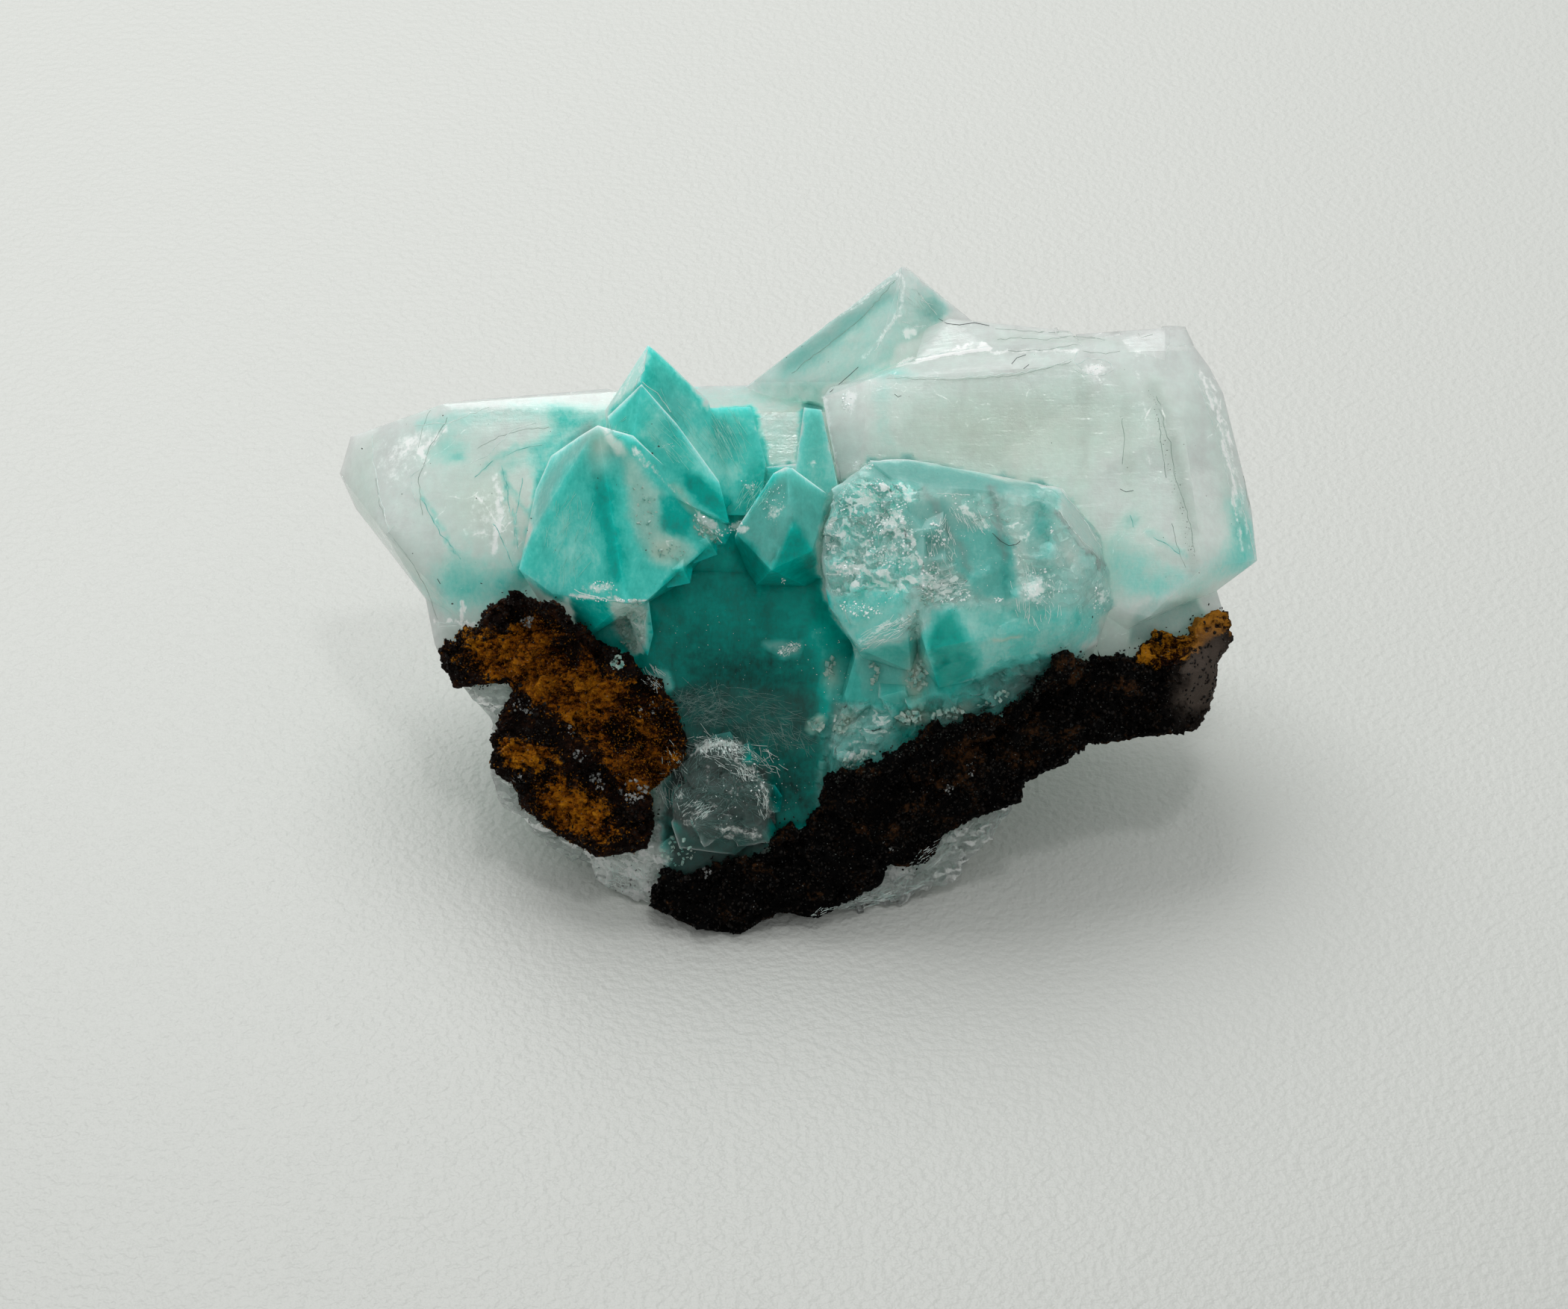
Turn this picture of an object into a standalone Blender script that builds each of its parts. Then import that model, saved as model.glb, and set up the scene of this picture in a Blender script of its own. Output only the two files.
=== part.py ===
"""Calcite with aurichalcite inclusions: one intergrown calcite cluster, a rusty crust, a dark seam.

The broken front of the piece is a plane that leans back from the front contact with the ground.
Crystal corners are given on that plane: u along it to the right, v up it, w outward from it, in millimetres.
Corners buried in the body are given as x, y, z, in millimetres, from the same front contact.
"""

from dataclasses import dataclass, field
from math import cos, exp, hypot, pi, radians, sin

import bmesh
import bpy
from mathutils import Euler, Vector, noise
from mathutils.bvhtree import BVHTree

MM = 0.001
FRONT_TILT = radians(50.0)
NODE_GAP = 0.32
GROUND_HALF = 60.0

CRUST_COVER = 1.0
CRUST_GRID = 0.72
CRUST_EDGE_WIDTH = 0.7
LUMP_SIZE = 1.9
GRIT_SIZE = 0.75
PRISM_REACH = 20.0
RAY_START = 30.0

# Directions whose hull, at this reach, stands at least one NODE_GAP outside a corner.
GAP_REACH = NODE_GAP * 3.0**0.5
GAP_DIRECTIONS = [Vector(d) for d in ((1, 0, 0), (-1, 0, 0), (0, 1, 0), (0, -1, 0), (0, 0, 1), (0, 0, -1))]

# Calcite cleaves into rhombs whose three edges stand evenly round an axis, 101.9 degrees apart.
CLEAVAGE_RISE = 0.443
CLEAVAGE_SPREAD = 0.897

UP_FRONT = Vector((0.0, cos(FRONT_TILT), sin(FRONT_TILT)))
OUT_FRONT = Vector((0.0, -sin(FRONT_TILT), cos(FRONT_TILT)))


@dataclass
class Face:
    """A flat crystal face: three corners (u, v, w) and further outline points (u, v) on their plane."""

    corners: list
    outline: list

    def points(self):
        a, b, c = (Vector(corner) for corner in self.corners)
        normal = (b - a).cross(c - a)
        found = [a, b, c]
        for u, v in self.outline:
            w = a.z - ((u - a.x) * normal.x + (v - a.y) * normal.y) / normal.z
            found.append(Vector((u, v, w)))
        return found


@dataclass
class Crystal:
    """A convex crystal: flat faces, loose corners on the front frame, and corners buried in the body."""

    name: str
    faces: list = field(default_factory=list)
    corners: list = field(default_factory=list)
    roots: list = field(default_factory=list)

    def points(self):
        front = [point for face in self.faces for point in face.points()]
        front += [Vector(corner) for corner in self.corners]
        return [on_front(*point) for point in front] + [Vector(root) for root in self.roots]


@dataclass
class Rhomb:
    """A small cleavage step on the front frame: middle (u, v, w), edge lengths, and lean in degrees."""

    middle: tuple
    edges: tuple
    lean: tuple

    def points(self):
        turn = Euler([radians(angle) for angle in self.lean]).to_matrix()
        arms = []
        for number, length in enumerate(self.edges):
            angle = 2 * pi * number / 3
            arm = Vector((CLEAVAGE_SPREAD * cos(angle), CLEAVAGE_SPREAD * sin(angle), CLEAVAGE_RISE))
            arms.append(turn @ arm * length / 2)
        signs = [(i, j, k) for i in (-1, 1) for j in (-1, 1) for k in (-1, 1)]
        return [on_front(*self.middle) + i * arms[0] + j * arms[1] + k * arms[2] for i, j, k in signs]


@dataclass
class Crust:
    """A lumpy plate that drapes over the calcite inside an outline (u, v)."""

    name: str
    outline: list
    heights: list
    pits: list
    depth: float
    lump: float
    seed: int


CRYSTALS = [
    Crystal(
        "left_prism",
        faces=[
            Face(
                [(-19, 27.9, -4.6), (-10.2, 27.6, -3.6), (-14.9, 19.1, -0.9)],
                [(-21.9, 21)],
            ),
        ],
        corners=[
            (-24.7, 24.3, -7.2), (-24.1, 26.3, -7.2), (-23.8, 22.4, -7), (-21.3, 27.1, -5.6),
            (-18.8, 28.1, -6.2), (-9.2, 28.8, -6.6), (-20.9, 19.3, -5), (-19.8, 17.5, -3.9),
            (-16.9, 15.6, -1.6), (-10.5, 21.5, -0.6),
        ],
        roots=[(-20.5, 21, 12.5), (-16, 24, 11), (-9, 24.5, 10.5), (-8, 22, 19)],
    ),
    Crystal(
        "left_neck",
        corners=[
            (-19.8, 17.5, -3.9), (-19.2, 16.5, -3.2), (-19.2, 14.8, -3), (-18.5, 17.6, -2.6),
            (-16.8, 14, -1.2), (-14.5, 12.5, -0.6), (-13.1, 17.6, -0.4), (-13.3, 19.9, -1.6),
            (-17.7, 12.6, -2.4),
        ],
        roots=[(-15, 17, 9), (-12, 17, 7), (-12, 12, 5), (-9, 14, 12)],
    ),
    Crystal(
        "back_prism",
        faces=[
            Face(
                [(-10.3, 27.5, -4.4), (1.7, 27.5, -5), (-2.7, 23.9, -3.4)],
                [(2, 23.9), (-8.7, 23.9)],
            ),
        ],
        corners=[(-18, 28.2, -6.6), (-9.2, 29, -7.5), (1.9, 29.2, -8)],
        roots=[(-9, 24.8, 9), (10, 25, 9), (-9, 16, 8), (10, 16, 8)],
    ),
    Crystal(
        "spire",
        faces=[
            Face(
                [(-7.8, 30.6, 2.2), (-4.7, 27.8, 0.6), (-4.1, 21.8, 2.4)],
                [(-8.2, 28.7), (-7, 26.8), (-3.3, 22.7)],
            ),
        ],
        corners=[(-7.4, 30.4, 0.4), (-10.1, 27.3, 0.4), (-9.8, 25.3, 1), (-6.6, 21.8, 1.6)],
        roots=[(-10, 19, 13), (-4, 20.5, 13), (-4, 15, 13)],
    ),
    Crystal(
        "spire_front",
        faces=[
            Face(
                [(-8.1, 28.5, 3.4), (-6.3, 26.5, 3.2), (-8.8, 23.7, 4)],
                [(-3.6, 21.4), (-4.1, 23.5)],
            ),
        ],
        corners=[(-9.9, 26.9, 2), (-9.4, 25.3, 2.6), (-3.5, 21.4, 1)],
        roots=[(-9, 17, 13), (-4, 17, 13)],
    ),
    Crystal(
        "saddle",
        corners=[
            (-6.6, 23.7, 1.8), (-3.3, 22.7, 1.4), (-2.3, 23.8, 0.6), (-1.3, 21.4, 0.6), (-4.2, 20.1, 1.6),
            (-6.6, 19.9, 1.6), (0, 24.6, -1), (0.4, 21.5, 0),
        ],
        roots=[(-5, 18, 10), (3, 18, 10), (-4, 12, 8), (2, 12, 8)],
    ),
    Crystal(
        "wedge",
        faces=[
            Face(
                [(-5.1, 27.4, 0.6), (-2.5, 27.5, 0.2), (-3.7, 21.8, 1.8)],
                [(-2.1, 25.7), (-1.7, 24.6), (-2, 21.8)],
            ),
        ],
        corners=[(-5.4, 25.3, 0.6), (-2.7, 27.6, -1.4), (-4.9, 27.5, -1.4)],
        roots=[(-4, 19, 12), (-1, 19, 12)],
    ),
    Crystal(
        "pyramid",
        faces=[
            Face(
                [(-10.3, 26.3, 5), (-14.5, 19, 1.8), (-8.8, 17.2, 6)],
                [(-13.7, 21.1), (-12.7, 17.7)],
            ),
            Face(
                [(-10.3, 26.3, 5), (-8.8, 17.2, 6), (-3.7, 21.2, 2.4)],
                [(-7.8, 17.3), (-6.3, 18.7), (-5, 19.8), (-8.5, 25.8), (-6.3, 23.7)],
            ),
        ],
        corners=[
            (-11.3, 25.8, 3.6), (-12.9, 24.9, 1), (-13.7, 23.1, 0.8), (-8.1, 17.5, 3.4),
            (-12.8, 17.9, 1.6),
        ],
        roots=[(-13, 15, 12), (-5, 15, 12), (-12, 10, 11)],
    ),
    Crystal(
        "mid_pyramid",
        faces=[
            Face(
                [(-0.5, 24.3, 4.2), (-0.5, 21.2, 4.8), (-3.3, 20.9, 2.4)],
                [(-1.4, 18.9), (-1.3, 23.9)],
            ),
            Face(
                [(-0.5, 24.3, 4.2), (-0.5, 21.2, 4.8), (1.6, 22.8, 2.4)],
                [(0.7, 19.9)],
            ),
        ],
        corners=[(-3.1, 20.1, 1.2)],
        roots=[(-3, 14, 11), (2, 14, 11), (0, 17, 13)],
    ),
    Crystal(
        "spike",
        faces=[
            Face(
                [(0.3, 27.4, 1.4), (1.2, 27.3, 1.2), (1.2, 22.9, 2.6)],
                [(2.1, 23.1), (-0.2, 23.7), (0, 25.3)],
            ),
        ],
        corners=[(0.7, 27.4, 0), (1.2, 21.4, 2.2)],
        roots=[(0.2, 17.5, 12), (3, 17.5, 12)],
    ),
    Crystal(
        "core",
        corners=[
            (-0.5, 21.4, -0.2), (-2.7, 20.6, -1), (-5, 19.8, -0.4), (-8.1, 17.5, 1.2), (-10.9, 15.6, 0.6),
            (-8.5, 13.6, 0.4), (-6.7, 12.2, 0.3), (-5.9, 9.7, 0.3), (-5.2, 5.4, 0.2), (-1.1, 4.7, 0.2),
            (1.2, 6, 0.6), (2, 8.2, 0.8), (3, 14.9, 0), (6.7, 11.3, 0.4), (5.1, 9.4, 0.6),
        ],
        roots=[
            (-8, 4.5, 3.5), (6, 4.5, 3.5), (-13, 14, 5), (14, 14, 5), (-9, 23, 6), (14, 23, 6),
            (-12, 20, 15), (12, 20, 15),
        ],
    ),
    Crystal(
        "frosty",
        faces=[
            Face(
                [(1.7, 23.1, 3), (3, 14.9, 4.6), (6.4, 20.8, 5.4)],
                [(1.1, 20.3), (1.3, 18.5), (1.6, 17), (6.4, 17.9), (5.6, 15.6), (3.1, 23.8), (4.6, 23.3)],
            ),
        ],
        corners=[(3.8, 24.6, 2.6), (7, 23.7, 3), (7.7, 19.1, 3), (3.5, 14.4, 2.6), (5.8, 13.7, 3.2)],
        roots=[(3.5, 15, 10), (8, 15, 10), (4, 11, 8)],
    ),
    Crystal(
        "frosty_right",
        faces=[
            Face(
                [(8.9, 23.1, 4.2), (13.1, 22.7, 3.6), (11.1, 16.3, 5)],
                [(5.6, 23), (15, 19.8), (6.5, 14.8), (13.8, 16.3)],
            ),
        ],
        corners=[
            (3.7, 24.6, 2.8), (5.7, 24.7, 2.6), (8.7, 23.9, 2.4), (12.4, 23.3, 2.2), (13.7, 23.2, 1.8),
            (14.9, 21.7, 1.4), (15.7, 20.6, 1.2), (15.9, 19.3, 1), (16.4, 17.3, 0.8), (12.9, 13.5, 2.6),
            (15.6, 15.2, 1.6), (7.4, 12.5, 3),
        ],
        roots=[(6, 16, 10), (16, 16, 10), (6, 10, 7), (15, 11, 8)],
    ),
    Crystal(
        "lower_right",
        faces=[
            Face(
                [(3.1, 14.9, 2), (1.8, 8.2, 1.2), (7, 13.7, 3.4)],
                [(1.2, 6.2), (5.6, 9.7), (7.2, 11), (2.4, 12.5)],
            ),
        ],
        corners=[(10.8, 11.7, 2.6), (14, 14.4, 1.8), (10, 15.6, 3.6), (6.6, 15.6, 3.4)],
        roots=[(4, 8, 5), (14, 12, 7), (14, 16, 8), (2, 16, 8)],
    ),
    Crystal(
        "block",
        faces=[
            Face(
                [(3.8, 29, -0.8), (14.6, 29.8, -1), (18.3, 17.5, 1.2)],
                [(9.9, 29.1), (20.2, 27), (21.1, 19.1), (2.8, 21.4), (18.2, 16.5)],
            ),
        ],
        corners=[
            (1.3, 28.1, -1.8), (2.2, 23.2, -0.6), (1.7, 28.7, -3), (6.2, 30, -2.2), (7.2, 30.8, -5),
            (15, 30.6, -2), (17.1, 31.5, -3.4), (21, 30.9, -3.2), (21.8, 29.8, -3), (22.5, 28.4, -2.8),
            (23.2, 25.4, -2.2), (23.9, 22.3, -1.8), (24.2, 19.5, -1.6), (22.7, 18.7, -1.4),
            (22, 17.9, -1),
        ],
        roots=[(4, 24.5, 9), (20, 24.5, 10), (22, 20, 8), (14, 12, 8)],
    ),
    Crystal(
        "block_top",
        corners=[
            (6.2, 30.1, -2.4), (10, 30.8, -2.4), (14.7, 31.1, -2.4), (6.8, 32, -5.2), (8.1, 32.5, -4.9),
            (14.5, 31.8, -4.3), (15.5, 30.6, -2.6),
        ],
        roots=[(6, 22, 14), (18, 22, 14), (8, 25, 14), (18, 24, 14)],
    ),
    Crystal(
        "corner_step_a",
        corners=[
            (14.8, 31.6, -4), (18.5, 31.8, -3.6), (19.5, 31.9, -3.6), (15, 30.5, -2.4),
            (19.4, 30.6, -2.2), (20.1, 31.7, -3.9),
        ],
        roots=[(14.5, 22, 17), (19, 21.5, 17), (14.5, 19, 17), (19.5, 18.6, 17)],
    ),
    Crystal(
        "corner_step_b",
        corners=[(19.4, 32.1, -4), (20.6, 32, -4), (21, 31, -3.4), (19.4, 31, -2.8), (20.6, 30.6, -2.9)],
        roots=[(19, 22, 17), (21, 21, 17), (19, 19, 17), (21, 19, 17)],
    ),
    Crystal(
        "right_foot",
        corners=[
            (22, 18, -1.2), (22.5, 16.4, -1.4), (20.8, 15.6, -0.8), (16.9, 14.8, -0.2), (16, 16.8, 0.6),
            (21.7, 12.4, -2.2), (17, 11.1, -2), (13, 9.7, -1.4),
        ],
        roots=[(14, 14, 7), (20, 16, 9), (21, 17, 12)],
    ),
    Crystal(
        "back_point",
        faces=[
            Face(
                [(5.6, 35.3, -5), (-2.4, 29.2, -6.4), (3.8, 29, -3)],
                [(-0.3, 29.6)],
            ),
            Face(
                [(5.6, 35.3, -5), (3.8, 29, -3), (8.2, 32.5, -6)],
                [(6.8, 32)],
            ),
        ],
        corners=[(5.9, 35.3, -6), (7.3, 34, -6.6), (-2.8, 29, -7.4)],
        roots=[(-2, 25, 13), (8, 26.5, 14), (10, 26, 20), (2, 22, 12)],
    ),
    Crystal(
        "under_left_a",
        corners=[
            (-18.2, 13.4, -2), (-17.5, 12.8, -2), (-15.8, 10.8, -2), (-14.4, 12.5, -0.4),
            (-14.8, 9.7, -0.6), (-12.1, 13.6, -0.4),
        ],
        roots=[(-13, 14, 5), (-9, 15, 2), (-9, 10, 2)],
    ),
    Crystal(
        "under_left_b",
        corners=[
            (-15.7, 11.8, -1.2), (-16.2, 9.3, -1.6), (-16.3, 8, -1.6), (-15.9, 6.5, -1.8),
            (-14.4, 6, -1.4), (-12.1, 8.2, 0.2), (-12.8, 11.7, 0.2),
        ],
        roots=[(-11, 13, 4), (-8, 13, 0.6), (-7, 7, 0.6)],
    ),
    Crystal(
        "under_left_c",
        corners=[
            (-14.8, 6.2, -2), (-14.5, 5.4, -2.2), (-13.7, 4.6, -2.4), (-12.7, 3.7, -2.6),
            (-10.9, 3.5, -2.4), (-9.3, 5, -0.2), (-12.1, 7.8, 0),
        ],
        roots=[(-8, 12, 0.4), (-8, 7.2, 0.2), (-6, 5.6, 0.2)],
    ),
    Crystal(
        "under_left_d",
        corners=[
            (-11, 4.2, -1.4), (-10.9, 2.5, -2.2), (-9.1, 1.8, -1.6), (-7.9, 1.2, -1.3), (-7.4, 3.9, 0.2),
            (-8.2, 5.8, 0.4), (-9.7, 5.4, -0.2),
        ],
        roots=[(-7, 8, 0.2), (-5.6, 4.6, 0.2), (-3, 6, 2), (-3, 8, 0.2)],
    ),
    Crystal(
        "under_right_a",
        corners=[
            (11.3, 6.4, -1.6), (10.4, 5, -1.8), (8.6, 3.4, -2.2), (8.1, 2.2, -2), (6.8, 2.3, -1.4),
            (5.1, 5, -0.4), (10.6, 8.1, -0.8),
        ],
        roots=[(10, 11, 5), (8, 14, 0.2), (7, 6, 0.2), (4, 5, 0.3)],
    ),
    Crystal(
        "under_right_b",
        corners=[
            (5.6, 2.2, -1.3), (4.2, 1, -1.2), (1.9, 1, -0.9), (-0.4, 2.3, -0.2), (4.3, 5, 0),
            (6.9, 2.2, -1.6),
        ],
        roots=[(7, 8, 0.2), (-1, 8, 0.2), (-1, 4, 0.3), (5.5, 4.6, 0.2)],
    ),
    Crystal(
        "base",
        roots=[
            (-8.2, 8, 0), (-9.6, 15, 0), (-6.5, 19.6, 0), (3.2, 21, 0), (8.4, 18, 0), (8.8, 11, 0),
            (5, 5, 0), (-5.4, 5.4, 0), (-13.5, 17, 9), (15, 17, 9), (-11, 24, 10.5), (1, 26.2, 9.5),
            (12, 25, 11), (-8, 7, 5), (8, 7, 5),
        ],
    ),
    Crystal(
        "front_sill",
        corners=[
            (-7.8, 4.3, 0.3), (-7.4, 3, 0.2), (-4.3, 3.3, 0.3), (-2.7, 3.8, 0.4), (-1.1, 4.9, 0.4),
            (-5.4, 5.8, 0.6), (-2.7, 2.5, -0.3), (-6.6, 2.2, -0.5),
        ],
        roots=[(-6, 5, 1), (0, 5, 1), (-4, 6, 4), (-1, 6, 4)],
    ),
    Crystal(
        "rear_left",
        roots=[
            (-18.5, 23.2, 13.4), (-20.2, 20.6, 11.6), (-14, 26.2, 13.6), (-13.2, 25.6, 9.6),
            (-16.6, 21, 8.6), (-10, 26.4, 12.2), (-10, 22, 9), (-12, 20, 13),
        ],
    ),
    Crystal(
        "rear_mid",
        roots=[
            (-7, 27.1, 13.4), (-1, 27.2, 12.6), (2.4, 26.9, 9.2), (-5.2, 26.3, 8.2), (-9.4, 25.6, 11),
            (-4, 22, 7), (-4, 20, 14), (2, 23, 13),
        ],
    ),
    Crystal(
        "rear_right",
        roots=[
            (14, 26.6, 15.5), (20, 24.6, 15.2), (22.2, 22.4, 12.6), (19.4, 22.6, 8.8), (13, 25.4, 8.6),
            (9.4, 26.4, 11.4), (14, 20, 8), (16, 20, 15),
        ],
    ),
    Crystal(
        "front_block_a",
        corners=[
            (-5, 10.2, 2), (-2.7, 9.8, 2), (-2.6, 8, 2.4), (-5.4, 7.8, 2.4), (-6.4, 8.6, 1.6),
            (-5.2, 9.7, 0.8),
        ],
        roots=[(-5, 6, 5), (-2, 6, 5), (-2, 5, 3.4)],
    ),
    Crystal(
        "front_block_b",
        corners=[
            (-5.8, 8.2, 2), (-2.2, 8.6, 2.2), (-1.5, 7.4, 2), (-1.5, 5.5, 1.4), (-3.3, 4.1, 1),
            (-6.2, 4.5, 1.2), (-6.8, 6.3, 1.4), (-4.2, 7.5, 2.8),
        ],
        roots=[(-5, 5, 3), (-1.4, 5, 3)],
    ),
    Crystal(
        "tab",
        corners=[
            (-8.6, 17.5, 3.8), (-7.7, 17.3, 4.2), (-7.5, 15.6, 3), (-7.8, 14.5, 2.2), (-8.4, 15.1, 2.4),
            (-8.8, 16.4, 3), (-8.1, 16, 3.6), (-8.2, 16.4, 0.4), (-8.5, 15.6, 0.4),
        ],
    ),
    Crystal(
        "bead",
        corners=[
            (-9.6, 14.5, 2), (-9, 14.6, 2), (-8.8, 14, 1.8), (-9.3, 13.6, 1.6), (-9.7, 14, 1.6),
            (-9.2, 14.1, 2.4), (-9.3, 14, 0.4),
        ],
    ),
]

CLEAVAGE_STEPS = [
    # between the two frosted crystals
    Rhomb((6.6, 20.9, 4.5), (2.2, 1.4, 1.6), (40, 10, 20)),
    Rhomb((7.1, 19.0, 4.5), (1.8, 2.0, 1.2), (42, 6, 26)),
    Rhomb((6.4, 16.9, 4.6), (1.6, 1.4, 1.4), (35, 12, 14)),
    Rhomb((4.7, 15.9, 4.5), (1.5, 1.2, 1.2), (44, 4, 32)),
    Rhomb((3.2, 16.6, 4.2), (1.3, 1.3, 1.0), (44, 4, 32)),
    # on the right frosted crystal
    Rhomb((9.3, 18.6, 4.4), (1.8, 1.2, 1.2), (38, 8, 40)),
    Rhomb((11.9, 17.4, 4.5), (1.6, 1.6, 1.2), (40, 10, 20)),
    Rhomb((12.9, 19.3, 3.9), (1.5, 1.8, 1.0), (46, 2, 12)),
    Rhomb((10.1, 15.5, 4.0), (1.6, 1.2, 1.4), (36, 14, 28)),
    Rhomb((8.2, 14.0, 3.6), (1.8, 1.4, 1.0), (42, 6, 18)),
    Rhomb((12.6, 14.9, 3.1), (1.4, 1.4, 1.0), (40, 0, 50)),
    # below it, down to the seam
    Rhomb((5.1, 12.4, 2.5), (1.4, 1.2, 1.0), (38, 8, 24)),
    Rhomb((4.0, 10.6, 1.9), (1.6, 1.0, 1.0), (44, 4, 12)),
    Rhomb((6.4, 11.7, 2.9), (1.2, 1.4, 0.9), (36, 12, 34)),
    Rhomb((2.6, 9.3, 1.5), (1.4, 1.3, 0.9), (42, 6, 40)),
    Rhomb((9.3, 12.4, 3.0), (1.6, 1.1, 1.0), (40, 10, 16)),
    # along the right edge of the front pyramid
    Rhomb((-5.1, 20.3, 2.7), (1.3, 1.1, 1.2), (34, 8, 30)),
    Rhomb((-4.4, 21.1, 2.3), (1.1, 1.3, 0.9), (44, 6, 10)),
    Rhomb((-6.3, 18.9, 3.8), (1.2, 1.0, 1.1), (40, 10, 22)),
    # frosted block in front
    Rhomb((-4.2, 9.4, 1.9), (1.8, 1.4, 1.2), (40, 4, 16)),
    Rhomb((-2.9, 8.9, 2.0), (1.4, 1.2, 1.3), (36, 10, 30)),
    Rhomb((-2.0, 7.2, 1.9), (1.5, 1.6, 1.0), (44, 2, 20)),
    Rhomb((-2.4, 5.5, 1.4), (1.8, 1.2, 1.0), (40, 6, 12)),
    Rhomb((-4.4, 5.9, 2.0), (2.0, 1.5, 1.2), (38, 8, 36)),
    Rhomb((-5.7, 7.1, 1.6), (1.5, 1.4, 1.2), (42, 4, 24)),
    # blocky top right corner
    Rhomb((16.6, 31.0, -3.8), (1.6, 1.2, 1.0), (10, 20, 15)),
    Rhomb((12.9, 31.0, -3.7), (2.2, 1.4, 1.0), (8, 16, 10)),
    Rhomb((20.1, 30.4, -3.4), (1.4, 1.2, 1.2), (12, 24, 20)),
]

LIMONITE = Crust(
    "limonite_crust",
    outline=[
        (-18.9, 14.9), (-17.9, 15.3), (-16.5, 16.4), (-15.9, 17.6), (-14.8, 18.1), (-13.6, 17.7), (-12.7, 17.7),
        (-11.8, 16.5), (-10.9, 15.6), (-9.7, 14.8), (-8.8, 14.0), (-7.4, 12.9), (-6.5, 11.7), (-5.9, 10.3),
        (-6.1, 9.1), (-6.9, 8.2), (-8.1, 7.3), (-7.6, 5.8), (-7.9, 4.5), (-8.8, 4.3), (-10.5, 4.0), (-11.7, 4.7),
        (-13.1, 5.5), (-14.4, 6.7), (-14.8, 7.8), (-15.8, 8.3), (-16.1, 10.1), (-15.5, 11.6), (-14.7, 12.5),
        (-15.2, 13.2), (-16.8, 13.1), (-18.0, 12.9), (-18.6, 13.8),
    ],
    heights=[
        (-18.3, 14.0, -1.2), (-16.8, 14.8, 0.2), (-14.4, 16.0, 1.5), (-12.6, 15.6, 1.9), (-10.5, 13.6, 2.4),
        (-7.4, 10.5, 2.0), (-14.4, 9.7, 1.7), (-12.7, 6.6, 1.4), (-8.6, 5.4, 1.6), (-10.3, 10.8, 2.2),
    ],
    pits=[(-11.5, 10.4, 1.1, 1.6), (-14.9, 11.4, 0.9, 1.2), (-13.4, 8.0, 0.9, 1.0), (-10.4, 7.6, 1.0, 1.0)],
    depth=3.4,
    lump=0.75,
    seed=11,
)

GOETHITE = Crust(
    "goethite_seam",
    outline=[
        (-7.7, 2.2), (-7.0, 3.3), (-5.8, 2.9), (-3.6, 3.6), (-1.8, 4.1), (-1.1, 5.0), (0.3, 5.4), (1.3, 7.0),
        (1.6, 8.1), (2.5, 8.3), (4.2, 8.9), (5.8, 9.8), (7.3, 10.7), (9.4, 11.3), (10.7, 11.2), (12.2, 12.6),
        (13.1, 13.6), (13.7, 14.3), (14.7, 14.0), (15.9, 14.4), (17.6, 14.2), (17.8, 15.0), (19.0, 15.8),
        (20.2, 15.4), (21.7, 16.7), (22.6, 16.8), (22.7, 15.3), (21.9, 14.1), (21.8, 11.7), (21.1, 10.7),
        (18.7, 10.4), (16.1, 10.0), (15.0, 9.9), (13.8, 8.8), (12.4, 8.2), (11.7, 7.8), (11.5, 6.8), (9.3, 6.1),
        (7.3, 5.1), (6.6, 3.7), (4.7, 3.6), (4.2, 2.6), (2.6, 1.8), (1.0, 0.7), (-0.9, 1.1), (-3.1, -0.1),
        (-4.8, 0.1), (-6.4, 0.7), (-7.7, 1.4),
    ],
    heights=[
        (-6.5, 2.0, 1.1), (-4.3, 0.2, 0.9), (-2.5, 3.0, 1.7), (1.2, 4.6, 1.9), (1.2, 0.9, 0.9), (5.1, 6.6, 2.3),
        (6.7, 3.9, 1.2), (9.0, 8.6, 2.7), (12.9, 11.3, 2.8), (12.9, 8.6, 1.3), (16.8, 12.5, 2.0),
        (20.2, 13.4, 1.6), (20.0, 15.4, 0.4), (22.5, 16.0, -0.6), (21.6, 11.6, -0.8), (18.0, 10.7, 0.6),
    ],
    pits=[(3.5, 6.0, 0.8, 0.5), (10.5, 9.5, 0.9, 0.5), (-1.5, 2.2, 0.8, 0.4)],
    depth=3.2,
    lump=0.5,
    seed=23,
)


def on_front(u, v, w):
    """Object position, in millimetres, of a point on the front frame."""
    return Vector((u, 0.0, 0.0)) + v * UP_FRONT + w * OUT_FRONT


def new_object(name, mesh_builder):
    """Object with the mesh of a bmesh, which is freed."""
    mesh = bpy.data.meshes.new(name)
    bmesh.ops.recalc_face_normals(mesh_builder, faces=mesh_builder.faces[:])
    mesh_builder.to_mesh(mesh)
    mesh_builder.free()
    obj = bpy.data.objects.new(name, mesh)
    bpy.context.scene.collection.objects.link(obj)
    return obj


def hull(name, points):
    """Convex solid around points in millimetres."""
    builder = bmesh.new()
    for point in points:
        builder.verts.new(point * MM)
    made = bmesh.ops.convex_hull(builder, input=builder.verts[:])
    loose = made["geom_interior"] + made["geom_unused"]
    inner = {item for item in loose if isinstance(item, bmesh.types.BMVert)}
    bmesh.ops.delete(builder, geom=list(inner), context="VERTS")
    return new_object(name, builder)


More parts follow.
